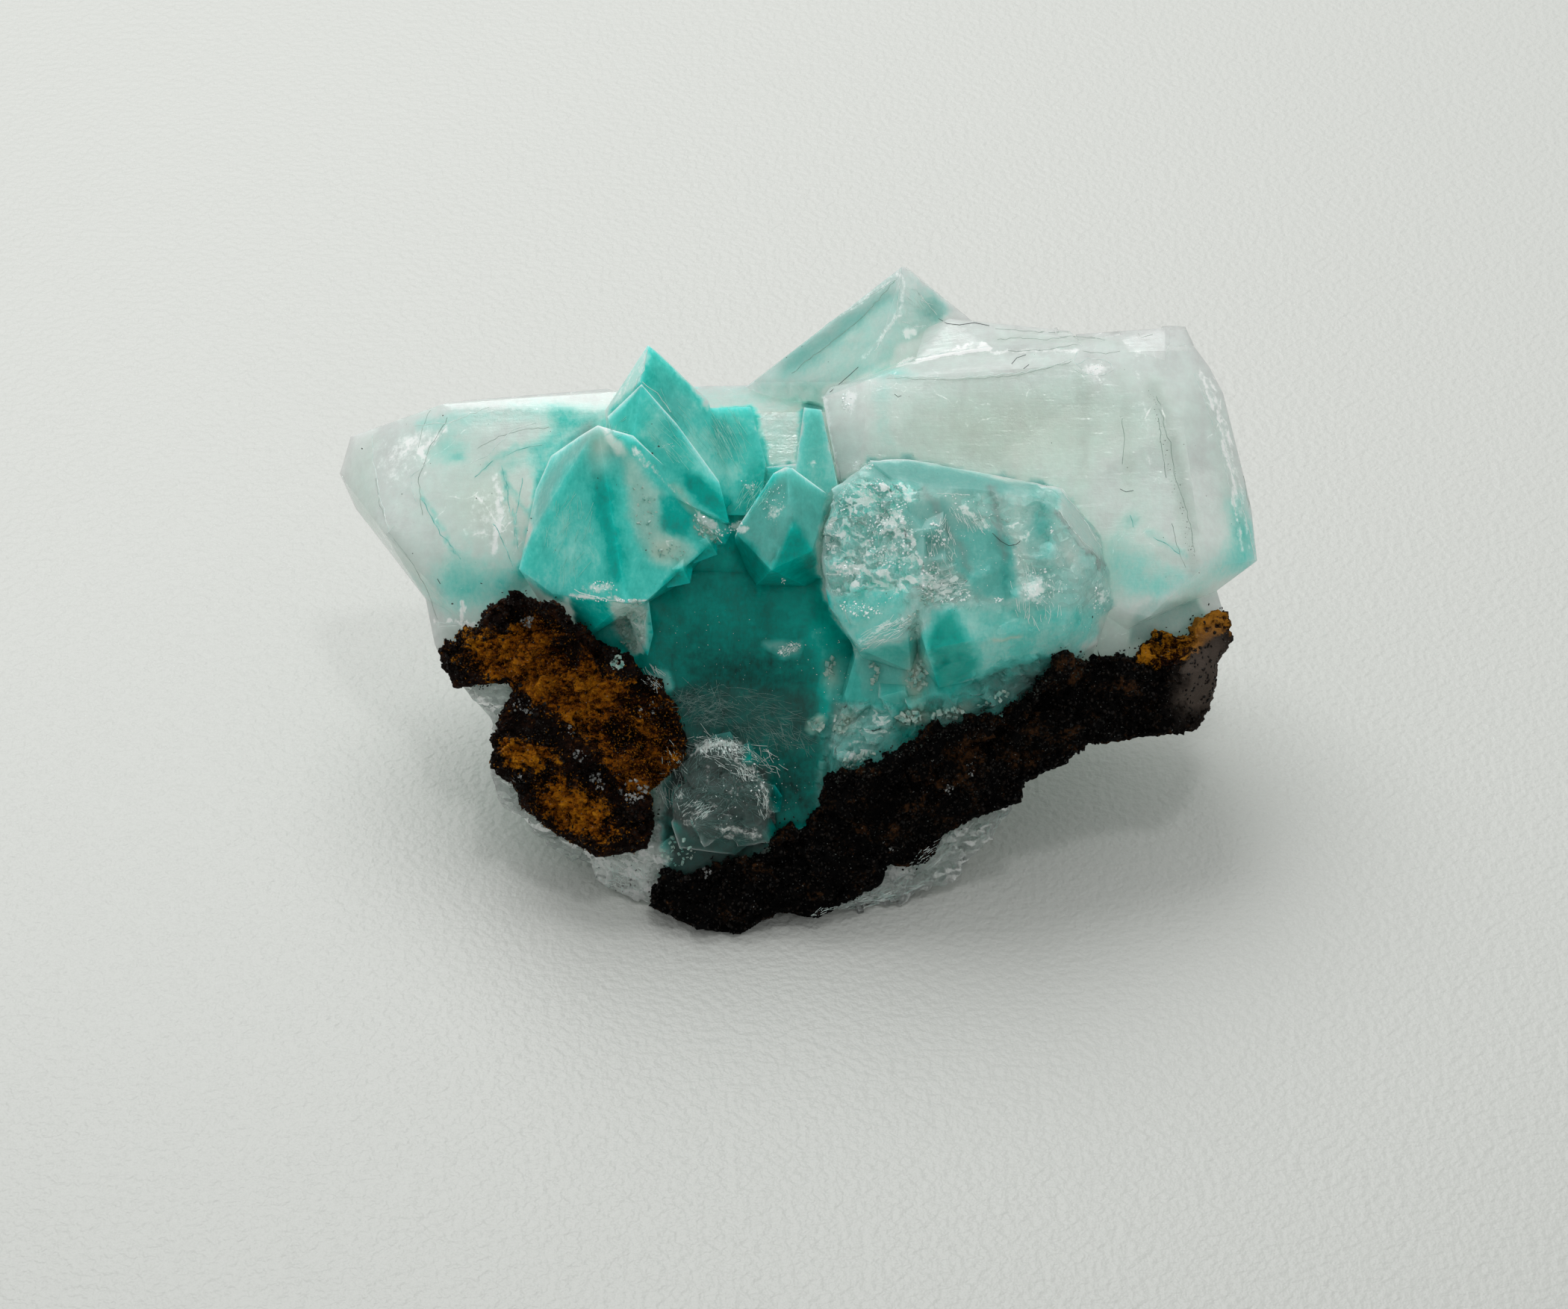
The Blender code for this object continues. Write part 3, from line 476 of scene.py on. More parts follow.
PYRAMIDS = (
    Patch(
        ((800, 562), (735, 612), (713, 657), (712, 707), (690, 765), (740, 800), (806, 812), (868, 810), (908, 772)) + ((978, 708), (904, 640), (850, 582)),
        {AQUA: 0.48, MILK: 0.9, FROST: 0.2, GREY: 0.0, WHITE: 0.0, WARM: 0.0},
        2.5,
    ),
    Patch(((800, 562), (738, 612), (715, 657), (716, 712), (745, 660), (775, 610)), {AQUA: 0.44, GREY: 0.15}, 3),
    Spot(GREY, 0.4, 800, 600, 18, 34, -10),
    Streak(GREY, 0.3, 9.0, ((790, 572), (760, 612), (733, 652), (712, 700), (697, 740))),
    Spot(WARM, 0.3, 802, 596, 14, 30),
    Patch(((800, 566), (832, 588), (836, 606), (826, 612), (808, 590)), {AQUA: 0.25, GREY: 0.3, WHITE: 0.3, WARM: 0.2}, 3),
    Spot(AQUA, -0.06, 765, 735, 22, 60, 18),
    Streak(AQUA, 0.2, 16.0, ((806, 650), (812, 700), (828, 765))),
    Spot(WHITE, 0.8, 800, 786, 26, 9, 8),
    Streak(WHITE, 0.7, 4.0, ((762, 798), (806, 803), (866, 803))),
    Streak(WARM, 0.3, 9.0, ((844, 620), (858, 680), (880, 740), (915, 748))),
    Streak(GREY, 0.25, 14.0, ((812, 590), (850, 640), (870, 700))),
    Streak(WHITE, 0.3, 6.0, ((846, 600), (866, 640), (862, 690), (880, 738))),
    Streak(WARM, 0.35, 7.0, ((902, 650), (930, 690), (960, 722))),
    Spot(AQUA, -0.06, 862, 690, 18, 40, -10),
    Patch(
        ((836, 606), (858, 622), (872, 650), (884, 664), (876, 690), (892, 712), (924, 726), (930, 742), (902, 756), (872, 748), (858, 716), (846, 690), (852, 650)),
        {AQUA: 0.36, GREY: 0.24, WARM: 0.2, WHITE: 0.12, FROST: 0.4},
        9,
    ),
    Spot(WARM, 0.3, 888, 735, 16, 14),
    Spot(WHITE, 0.3, 888, 735, 16, 14),
    Streak(WHITE, 0.45, 6.0, ((850, 600), (900, 655), (955, 705))),
    Spot(WHITE, 0.7, 952, 702, 20, 9, 40),
    Patch(((880, 668), (902, 662), (935, 690), (912, 722), (890, 712)), {AQUA: 0.62, WHITE: 0.0, WARM: 0.0}, 4),
    Patch(((1056, 618), (980, 712), (1032, 768), (1057, 706), (1088, 741), (1112, 664)), {AQUA: 0.5, MILK: 0.8, FROST: 0.45, GREY: 0.4, WHITE: 0.1}, 2.5),
    Patch(((1056, 620), (1060, 706), (1088, 741), (1112, 664)), {AQUA: 0.5, GREY: 0.3, WHITE: 0.05, FROST: 0.3}, 3),
    Spot(WHITE, 0.5, 1040, 680, 14, 20, 20),
    Spot(WHITE, 0.8, 988, 708, 12, 6),
    Patch(((1076, 542), (1100, 546), (1126, 656), (1096, 690), (1062, 640)), {AQUA: 0.46, MILK: 0.8, FROST: 0.2, GREY: 0.25, WHITE: 0.0}, 2),
    Spot(WHITE, 0.5, 1086, 625, 10, 20),
)
CORE = (
    Patch(
        ((764, 805), (866, 806), (905, 768), (978, 708), (1010, 730), (1032, 765), (1060, 702), (1088, 738), (1110, 812), (1147, 867))
        + ((1150, 960), (1115, 1040), (1092, 1095), (1041, 1127), (960, 1170), (880, 1170), (850, 1090), (840, 891), (790, 868)),
        {AQUA: 0.74, MILK: 0.9, FROST: 0.12, GREY: 0.0, WHITE: 0.0, WARM: 0.0},
        3,
    ),
    Patch(((764, 803), (830, 805), (825, 868), (790, 870)), {AQUA: 0.62}, 6),
    Patch(((1032, 765), (1060, 702), (1088, 738), (1108, 812), (1140, 867), (1120, 900), (1060, 860), (1040, 800)), {AQUA: 0.7}, 12),
    Streak(AQUA, -0.14, 14.0, ((1098, 850), (1110, 920), (1105, 960))),
    Spot(AQUA, 0.18, 985, 900, 90, 56),
    Spot(AQUA, 0.16, 990, 950, 110, 40),
    Spot(AQUA, 0.22, 1050, 1045, 50, 80),
    Patch(((905, 925), (960, 915), (1090, 930), (1096, 1000), (1000, 1000), (915, 985)), {GREY: 0.35, AQUA: 0.9}, 14),
    Patch(((868, 985), (915, 972), (930, 990), (905, 1030), (896, 1070), (892, 1110), (862, 1090)), {AQUA: 0.9, GREY: 0.7, WHITE: 0.1, FROST: 0.6}, 6),
    Spot(WHITE, 0.25, 935, 945, 24, 20),
    Spot(WHITE, 0.3, 1015, 960, 14, 18),
    Patch(((1022, 864), (1040, 858), (1076, 856), (1072, 872), (1052, 884)), {GREY: 0.5, WHITE: 0.3, AQUA: 0.5}, 4),
    Patch(((1084, 968), (1096, 956), (1104, 962), (1100, 978), (1086, 984)), {WARM: 0.5, WHITE: 0.4, AQUA: 0.4}, 3),
    Patch(((815, 806), (866, 806), (868, 868), (848, 876), (828, 850)), {GREY: 0.45, WHITE: 0.35, AQUA: 0.3, WARM: 0.2, FROST: 0.6}, 3),
    Patch(((809, 880), (832, 870), (845, 885), (840, 900), (820, 902)), {AQUA: 0.25, GREY: 0.1, WHITE: 0.2}, 3),
    Patch(((865, 905), (895, 900), (905, 925), (880, 932)), {AQUA: 0.4, GREY: 0.4, WHITE: 0.2}, 4),
)
FROSTED = (
    Patch(
        ((1110, 660), (1165, 616), (1216, 614), (1294, 632), (1390, 648), (1422, 654), (1476, 718), (1478, 752), (1492, 812), (1440, 885)) + ((1350, 955), (1257, 985), (1147, 868), (1110, 812), (1098, 729)),
        {AQUA: 0.32, MILK: 0.65, FROST: 0.6, GREY: 0.3, WHITE: 0.1, WARM: 0.0},
        3,
    ),
    Patch(((1108, 668), (1165, 640), (1232, 650), (1236, 784), (1205, 800), (1112, 800), (1099, 729)), {AQUA: 0.36, FROST: 1.0, WHITE: 0.26, GREY: 0.05}, 6),
    Spot(WHITE, 0.25, 1170, 660, 30, 18),
    Spot(WHITE, 0.3, 1200, 715, 24, 30),
    Spot(WHITE, 0.3, 1112, 724, 14, 22),
    Spot(WHITE, 0.3, 1136, 766, 12, 12),
    Spot(GREY, 0.3, 1225, 700, 10, 40),
    Patch(((1110, 800), (1215, 790), (1205, 850), (1150, 868), (1128, 845)), {AQUA: 0.4, FROST: 0.5, WHITE: 0.1, GREY: 0.0}, 6),
    Streak(WHITE, 0.5, 4.0, ((1150, 862), (1180, 842), (1212, 828))),
    Patch(((1164, 615), (1216, 614), (1294, 633), (1392, 650), (1380, 662), (1260, 655), (1168, 642)), {AQUA: 0.45, GREY: 0.5, WHITE: 0.0, FROST: 0.3}, 5),
    Patch(((1207, 676), (1262, 665), (1300, 700), (1270, 755), (1232, 742)), {AQUA: 0.43, GREY: 0.4, WHITE: 0.0, FROST: 0.2}, 5),
    Streak(WHITE, 0.6, 3.0, ((1207, 690), (1228, 735), (1246, 770))),
    Streak(WHITE, 0.6, 3.0, ((1248, 705), (1262, 722), (1276, 750))),
    Patch(((1268, 712), (1330, 706), (1360, 730), (1358, 800), (1310, 800), (1280, 760)), {AQUA: 0.47, GREY: 0.25, WHITE: 0.0, FROST: 0.4}, 5),
    Spot(AQUA, 0.2, 1349, 766, 11, 32),
    Spot(WHITE, 0.45, 1262, 785, 30, 20),
    Spot(FROST, 0.4, 1262, 785, 34, 22),
    Streak(WHITE, 0.6, 7.0, ((1290, 680), (1312, 700), (1328, 712))),
    Spot(AQUA, -0.14, 1364, 740, 13, 80, -3),
    Spot(WHITE, 0.2, 1366, 745, 10, 60, -3),
    Spot(AQUA, 0.14, 1396, 700, 10, 44, -8),
    Spot(AQUA, -0.14, 1432, 738, 16, 30, -8),
    Spot(WHITE, 0.2, 1430, 735, 14, 28, -8),
    Streak(GREY, 0.35, 5.0, ((1330, 655), (1340, 700), (1345, 745))),
    Streak(GREY, 0.3, 5.0, ((1240, 655), (1262, 700), (1300, 760))),
    Patch(((1418, 687), (1424, 660), (1474, 722), (1478, 758)), {AQUA: 0.2, GREY: 0.35, WHITE: 0.0, FROST: 0.1}, 2),
    Streak(GREY, 0.5, 2.5, ((1414, 684), (1446, 722), (1478, 760))),
    Spot(WHITE, 0.6, 1395, 785, 26, 20),
    Spot(WHITE, 0.5, 1476, 797, 14, 22),
    Patch(((1263, 812), (1483, 812), (1440, 890), (1300, 935), (1262, 880)), {AQUA: 0.4, WHITE: 0.1, GREY: 0.05, FROST: 0.5}, 8),
    Patch(((1253, 822), (1275, 818), (1312, 880), (1300, 935), (1250, 930), (1236, 870)), {AQUA: 0.68, WHITE: 0.0, GREY: 0.0, FROST: 0.1}, 9),
    Patch(((1150, 872), (1200, 862), (1240, 850), (1244, 925), (1210, 950), (1150, 950)), {AQUA: 0.58, WHITE: 0.05, GREY: 0.1, FROST: 0.3}, 6),
    Patch(
        ((1092, 1095), (1102, 985), (1120, 930), (1200, 950), (1262, 930), (1360, 885), (1430, 880), (1350, 955), (1257, 985), (1200, 1010)),
        {AQUA: 0.66, MILK: 0.9, GREY: 0.45, WHITE: 0.0, WARM: 0.0, FROST: 0.7},
        6,
    ),
    Patch(((1122, 938), (1196, 944), (1192, 985), (1165, 1010), (1128, 1030), (1112, 1000)), {AQUA: 0.44, GREY: 0.5, WHITE: 0.16, FROST: 0.9}, 3),
    Patch(((1200, 945), (1255, 950), (1240, 985), (1200, 1000)), {AQUA: 0.84, GREY: 0.1, WHITE: 0.0}, 4),
    Patch(((1107, 884), (1248, 880), (1250, 935), (1200, 950), (1110, 935)), {AQUA: 0.56, GREY: 0.15, WHITE: 0.0}, 5),
    Spot(WARM, 0.5, 1222, 912, 10, 26),
    Spot(WARM, 0.4, 1115, 900, 9, 18),
    Spot(WARM, 0.4, 1132, 965, 12, 14),
    Spot(WARM, 0.5, 1232, 905, 9, 28),
    Spot(WARM, 0.5, 1225, 962, 16, 10),
    Spot(WARM, 0.4, 1275, 956, 22, 9, -10),
    Spot(GREY, 0.3, 1370, 915, 40, 14, -24),
    Streak(WARM, 0.5, 3.0, ((1335, 858), (1352, 850), (1366, 850))),
)
# Underside: the pale calcite under the piece is greyed here as painted shade.
UNDERSIDE = (
    Patch(
        ((555, 868), (640, 868), (700, 900), (900, 1000), (880, 1140), (880, 1235), (780, 1215), (600, 1100), (555, 920)),
        {AQUA: 0.06, MILK: 0.45, FROST: 0.7, GREY: 0.5, WHITE: 0.24, WARM: 0.0},
        6,
    ),
    Patch(((790, 1140), (900, 1135), (890, 1215), (860, 1220), (790, 1180)), {GREY: 0.3, AQUA: 0.05, WHITE: 0.32, MILK: 0.8, FROST: 0.9}, 5),
    Patch(((895, 1110), (1030, 1100), (1030, 1150), (960, 1180), (890, 1180)), {AQUA: 0.86, GREY: 0.6, WHITE: 0.05}, 8),
    Patch(
        ((905, 1010), (938, 988), (998, 988), (998, 1020), (1030, 1030), (1034, 1090), (1020, 1130), (930, 1125), (890, 1090)),
        {AQUA: 0.86, MILK: 0.8, FROST: 0.6, GREY: 0.9, WHITE: 0.14, WARM: 0.0},
        4,
    ),
    Spot(GREY, 0.4, 880, 1130, 24, 40),
    Streak(GREY, 0.4, 7.0, ((674, 1008), (660, 1040), (668, 1080), (700, 1104), (748, 1122))),
    Streak(GREY, 0.3, 6.0, ((600, 915), (640, 955), (668, 992))),
    Streak(WHITE, 0.4, 5.0, ((690, 1092), (730, 1112), (778, 1136), (800, 1150))),
    Streak(WHITE, 0.4, 4.0, ((612, 908), (650, 944), (680, 968))),
    Streak(GREY, 0.4, 6.0, ((796, 1150), (800, 1190), (850, 1216))),
    Patch(((896, 1128), (960, 1118), (1000, 1124), (985, 1160), (930, 1180), (895, 1172)), {AQUA: 0.9, GREY: 0.7, WHITE: 0.1}, 6),
    Streak(WHITE, 0.5, 9.0, ((926, 1003), (960, 996), (994, 998))),
    Streak(WHITE, 0.45, 6.0, ((984, 1018), (1004, 1030), (1026, 1060), (1030, 1090))),
    Spot(WHITE, 0.35, 930, 1086, 26, 16, -20),
    Spot(WHITE, 0.25, 985, 1065, 16, 26, 20),
    Spot(WHITE, 0.2, 950, 1035, 14, 14),
    Streak(WHITE, 0.4, 6.0, ((960, 1108), (1000, 1112), (1020, 1120))),
    Streak(WHITE, 0.3, 5.0, ((912, 1020), (922, 1050), (912, 1070))),
    # Painted shade: the calcite under the dark seam, greyed fully.
    Patch(
        ((1000, 1150), (1120, 1090), (1365, 1070), (1380, 1240), (1000, 1260)),
        {AQUA: 0.06, MILK: 0.5, FROST: 1.0, GREY: 1.0, WHITE: 0.22, WARM: 0.0},
        6,
    ),
)
PAINT = LEFT_CRYSTAL + BACK_ROW + BLOCK + TEAL_CROWN + PYRAMIDS + CORE + FROSTED + UNDERSIDE


# Shader graphs


class Wire:
    """A node's output that takes part in sums."""

    def __init__(self, graph: "Graph", socket: bpy.types.NodeSocket) -> None:
        """Wraps a socket of a graph."""
        self.graph = graph
        self.socket = socket

    def math(self, operation: str, first: Any, second: Any) -> "Wire":
        """Adds a Math node.

        Args:
            operation: Its operation.
            first: Its first value.
            second: Its second value.

        Returns:
            Its result.
        """
        return self.graph.wire("ShaderNodeMath", {"operation": operation}, {0: first, 1: second})

    def __add__(self, other: Any) -> "Wire":
        """Sum."""
        return self.math("ADD", self, other)

    __radd__ = __add__

    def __mul__(self, other: Any) -> "Wire":
        """Product."""
        return self.math("MULTIPLY", self, other)

    __rmul__ = __mul__

    def __sub__(self, other: Any) -> "Wire":
        """Difference."""
        return self.math("SUBTRACT", self, other)

    def __rsub__(self, other: Any) -> "Wire":
        """Difference from a plain number."""
        return self.math("SUBTRACT", other, self)

    def __truediv__(self, other: Any) -> "Wire":
        """Quotient."""
        return self.math("DIVIDE", self, other)

    def clamp(self) -> "Wire":
        """The value kept from 0 to 1."""
        return self.graph.wire("ShaderNodeClamp", {}, {0: self})

    def smooth(self, low: float, high: float) -> "Wire":
        """Rises smoothly from 0 at the low value to 1 at the high one."""
        settings = {"interpolation_type": "SMOOTHSTEP"}
        return self.graph.wire("ShaderNodeMapRange", settings, {0: self, 1: low, 2: high, 3: 0.0, 4: 1.0})

    def stretched(self, by: Sequence[float]) -> "Wire":
        """The vector multiplied, axis by axis."""
        return self.graph.wire("ShaderNodeVectorMath", {"operation": "MULTIPLY"}, {0: self, 1: tuple(by)})


class Graph:
    """A material's node tree."""

    def __init__(self, name: str) -> None:
        """Starts a material of this name with only its output."""
        self.material = bpy.data.materials.new(name)
        self.material.use_nodes = True
        self.tree = self.material.node_tree
        self.tree.nodes.clear()
        self.output = self.tree.nodes.new("ShaderNodeOutputMaterial")

    def node(self, kind: str, settings: dict[str, Any], inputs: dict[Any, Any]) -> bpy.types.Node:
        """Adds a node.

        Args:
            kind: Its type.
            settings: Its properties, and under "stops" the places and colours of a ramp.
            inputs: A value, a wire or a socket for each input that is used.

        Returns:
            The node.
        """
        made = self.tree.nodes.new(kind)
        for key, value in settings.items():
            if key == "stops":
                elements = made.color_ramp.elements
                while len(elements) < len(value):
                    elements.new(0.5)
                for element, (place, colour) in zip(elements, value):
                    element.position = place
                    element.color = (*colour, 1.0)
            else:
                setattr(made, key, value)
        for key, value in inputs.items():
            value = value.socket if isinstance(value, Wire) else value
            if isinstance(value, bpy.types.NodeSocket):
                self.tree.links.new(value, made.inputs[key])
            else:
                made.inputs[key].default_value = value
        return made

    def wire(self, kind: str, settings: dict[str, Any], inputs: dict[Any, Any], output: Any = 0) -> Wire:
        """Adds a node and wraps one of its outputs."""
        return Wire(self, self.node(kind, settings, inputs).outputs[output])

    def place(self) -> Wire:
        """Object coordinates in millimetres."""
        return self.wire("ShaderNodeTexCoord", {}, {}, "Object").stretched((1 / MM,) * 3)

    def painted(self, name: str) -> Wire:
        """A number painted into the mesh."""
        return self.wire("ShaderNodeAttribute", {"attribute_name": name}, {}, "Fac")

    def noise(self, place: Wire, scale: float, detail: float = 4.0, rough: float = 0.6) -> Wire:
        """Noise from 0 to 1, around 0.5."""
        inputs = {"Vector": place, "Scale": scale, "Detail": detail, "Roughness": rough}
        return self.wire("ShaderNodeTexNoise", {}, inputs)

    def mix(self, share: Any, first: Any, second: Any) -> Wire:
        """Mixes two colours."""
        return self.wire("ShaderNodeMix", {"data_type": "RGBA"}, {0: share, 6: first, 7: second}, 2)

    def ramp(self, value: Wire, stops: Sequence[tuple[float, Colour]]) -> Wire:
        """Turns a number into a colour."""
        return self.wire("ShaderNodeValToRGB", {"stops": stops}, {0: value})

    def bump(self, height: Wire, distance: float, strength: float = 1.0) -> Wire:
        """A normal from a height, where a height of 1 stands for the distance in millimetres."""
        return self.wire("ShaderNodeBump", {}, {"Height": height, "Distance": distance * MM, "Strength": strength})

    def principled(self, **inputs: Any) -> bpy.types.Node:
        """Adds a Principled shader, whose inputs are given with _ for each space."""
        named = {key.replace("_", " "): value for key, value in inputs.items()}
        return self.node("ShaderNodeBsdfPrincipled", {}, named)

    def finish(self, surface: bpy.types.Node, volume: bpy.types.Node | None = None) -> bpy.types.Material:
        """Joins the shaders to the output.

        Args:
            surface: The surface shader.
            volume: The volume shader, for a clear piece.

        Returns:
            The material.
        """
        self.tree.links.new(surface.outputs[0], self.output.inputs["Surface"])
        if volume:
            self.tree.links.new(volume.outputs[0], self.output.inputs["Volume"])
        return self.material


def opaque(colour: Colour) -> tuple[float, float, float, float]:
    """A colour with full alpha."""
    return (*colour, 1.0)


@dataclass(frozen=True)
class CalciteFinish:
    """Clear to milky calcite, teal where aurichalcite is enclosed.

    Attributes:
        ior: Refractive index.
        absorbed: Colour that is left of white light.
        density: Strength of the absorption per metre.
        glow: Reach of light in the pale milky parts, in millimetres.
        dusk: Reach of light in the teal parts, in millimetres.
    """

    ior: float = 1.58
    absorbed: Colour = (0.80, 0.95, 0.87)
    density: float = 12.0
    glow: float = 6.0
    dusk: float = 2.2
    stops: tuple[tuple[float, Colour], ...] = (
        (0.0, (0.90, 0.965, 0.90)),
        (0.14, (0.76, 0.92, 0.85)),
        (0.30, (0.38, 0.78, 0.71)),
        (0.46, (0.09, 0.62, 0.55)),
        (0.62, (0.0, 0.44, 0.38)),
        (0.80, (0.0, 0.24, 0.20)),
        (1.0, (0.0, 0.035, 0.03)),
    )

    def build(self) -> bpy.types.Material:
        """Makes the material."""
        g = Graph("calcite")
        p = g.place()
        aqua, milk, frost, grey, white, warm = (g.painted(trait.value) for trait in Trait)
        clouds = g.noise(p, 0.30, 5.0) - 0.5
        wisps = g.noise(p, 1.2, 5.0, 0.65) - 0.5
        fine = g.noise(p, 5.0, 3.0) - 0.5
        lengthwise = g.noise(p.stretched((0.35, 2.2, 2.2)), 0.9, 5.0, 0.65) - 0.5
        fibrous = g.wire("ShaderNodeTexNoise", {}, {"Vector": p.stretched((1.6, 0.7, 0.7)), "Scale": 2.0, "Detail": 4.0, "Roughness": 0.7, "Distortion": 1.6}) - 0.5
        upright = g.noise(p.stretched((1.0, 0.12, 0.12)), 0.8, 3.0) - 0.5
        swing = (aqua * 1.8 + 0.3).clamp()
        uneven = clouds * 0.24 + wisps * 0.18 + fibrous * 0.16 + lengthwise * 0.08 + fine * 0.09
        level = (aqua + uneven * swing + upright * 0.1).clamp()
        tint = g.ramp(level, self.stops)
        # Painted highlight: the crystals' convex edges are whitened slightly in the white mix below.
        rim = g.painted("edge")
        drift = g.wire("ShaderNodeTexNoise", {}, {"Vector": p, "Scale": 0.5, "Detail": 3.0}, "Color")
        bent = g.wire("ShaderNodeVectorMath", {"operation": "MULTIPLY_ADD"}, {0: drift, 1: (1.6, 1.6, 1.6), 2: p})
        # Cells in the frosted zones are whitened as cleavage flakes and as painted glints.
        chips = g.wire("ShaderNodeTexVoronoi", {}, {"Vector": bent.stretched((0.6, 1.1, 2.0)), "Scale": 2.4}, "Color")
        flakes_and_glints = (chips - 0.5) * frost.smooth(0.35, 1.1)
        seams = g.wire("ShaderNodeTexVoronoi", {"feature": "DISTANCE_TO_EDGE"}, {"Vector": bent, "Scale": 0.3}, "Distance")
        healed = (1 - seams.smooth(0.0, 0.022)) * clouds.smooth(-0.05, 0.15) * (1 - aqua * 1.4).clamp()
        # Grey mix: grey facets of the calcite, and painted shade where grey is painted under the piece and along the
        # left crystal's rim.
        greyed_and_shaded = g.mix((grey + wisps * 0.3 * swing + upright * 0.18 + fine * 0.1 - flakes_and_glints * 0.4).clamp(), tint, g.mix(aqua, opaque((0.42, 0.46, 0.44)), opaque((0.02, 0.035, 0.032))))
        warmed = g.mix((warm + lengthwise * 0.3 * warm).clamp(), greyed_and_shaded, opaque((0.66, 0.62, 0.50)))
        crisp = wisps + fine * 0.8 + fibrous * 0.7
        # White veils of the calcite, with the painted highlights on edges, ledge and flakes mixed in.
        veils_and_highlights = ((white + rim * 0.05 * (1 - grey) + crisp * 0.8 + flakes_and_glints * 1.5 + healed * 0.4).smooth(0.36, 0.8) * 0.8).clamp()
        colour = g.mix(veils_and_highlights, warmed, opaque((0.93, 0.95, 0.92)))
        rough = (frost * 0.25 + 0.05 + wisps * 0.08).clamp()
        height = lengthwise * 0.2 + wisps * 0.2 + fine * frost * 0.8
        normal = g.bump(height, 0.18, 0.6)
        clear = g.principled(
            Base_Color=g.mix(0.88, colour, opaque((1.0, 1.0, 1.0))), Roughness=rough, IOR=self.ior, Transmission_Weight=1.0, Normal=normal
        )
        pale, teal = (
            g.principled(
                Base_Color=colour,
                Roughness=(rough + 0.06).clamp(),
                IOR=self.ior,
                Subsurface_Weight=1.0,
                Subsurface_Radius=(1.0, 1.0, 1.0),
                Subsurface_Scale=reach * MM,
                Specular_IOR_Level=shine,
                Normal=normal,
            )
            for reach, shine in ((self.glow, 0.5), (self.dusk, 0.1))
        )
        milky = g.node("ShaderNodeMixShader", {}, {0: aqua.smooth(0.15, 0.4), 1: pale.outputs[0], 2: teal.outputs[0]})
        haze = (milk + aqua * 0.45 + wisps * 0.3 + upright * 0.2 + clouds * 0.15 + veils_and_highlights * 0.4 + flakes_and_glints * 0.8).clamp()
        body = g.node("ShaderNodeMixShader", {}, {0: haze, 1: clear.outputs[0], 2: milky.outputs[0]})
        volume = g.node("ShaderNodeVolumeAbsorption", {}, {"Color": opaque(self.absorbed), "Density": self.density})
        return g.finish(body, volume)


@dataclass(frozen=True)
class CrustFinish:
    """A dull, grainy mineral in mixed colours.

    Attributes:
        name: Name of the material.
        stops: Its colours, from its first to its last.
        rough: Roughness.
        size: Size of its patches in millimetres.
        ochre: Colour where the mesh is painted "ochre".
        slate: Colour where the mesh is painted "slate".
    """

    name: str
    stops: tuple[tuple[float, Colour], ...]
    rough: float = 0.75
    size: float = 1.4
    ochre: Colour = (0.25, 0.070, 0.002)
    slate: Colour = (0.078, 0.060, 0.050)

    def build(self) -> bpy.types.Material:
        """Makes the material."""
        g = Graph(self.name)
        p = g.place()
        patches = g.noise(p, 1 / self.size, 5.0, 0.65) - 0.5
        grain = g.noise(p, 5.0, 3.0) - 0.5
        fibre = g.noise(p.stretched((1.0, 3.0, 3.0)), 1.6, 4.0, 0.7) - 0.5
        ochre, slate, umber, pit = (g.painted(name) for name in ("ochre", "slate", "umber", "pit"))
        # Painted shade and light: the colour darkens in the hollows of the relief and lightens on its crests.
        ground = g.ramp((patches * 1.3 + fibre * 0.5 + grain * 0.7 + umber * 0.1 + 0.56 - pit * 0.2).clamp(), self.stops)
        rust = g.ramp(
            (fibre * 1.7 + patches * 1.3 + grain * 0.9 + 0.82 - pit * 0.56 - umber * 0.34).clamp(),
            ((0.0, (0.003, 0.001, 0.0005)), (0.3, (0.035, 0.008, 0.001)), (0.58, self.ochre), (1.0, (0.44, 0.165, 0.006))),
        )
        rusty = g.mix((ochre + (patches + fibre + grain) * 0.9).smooth(0.35, 0.65), ground, rust)
        faced = g.mix((slate + grain * 0.2).clamp(), rusty, opaque(self.slate))
        glint = g.noise(p, 7.0, 1.0).smooth(0.70, 0.78) * 0.7
        faced = g.mix(glint, faced, opaque((0.20, 0.21, 0.20)))
        normal = g.bump(grain * (1 - slate) + fibre * 0.6, 0.26)
        return g.finish(g.principled(Base_Color=faced, Roughness=self.rough, Specular_IOR_Level=0.05, Normal=normal))


@dataclass(frozen=True)
class SpeckFinish:
    """A finish for tiny loose matter.

    Attributes:
        name: Name of the material.
        dark: Its darkest colour.
        light: Its lightest colour.
        rough: Roughness.
        shine: Strength of its reflections.
    """

    name: str
    dark: Colour
    light: Colour
    rough: float
    shine: float = 0.15

    def build(self) -> bpy.types.Material:
        """Makes the material."""
        g = Graph(self.name)
        shade = g.noise(g.place(), 2.5, 3.0).smooth(0.3, 0.7)
        colour = g.mix(shade, opaque(self.dark), opaque(self.light))
        return g.finish(g.principled(Base_Color=colour, Roughness=self.rough, Specular_IOR_Level=self.shine))


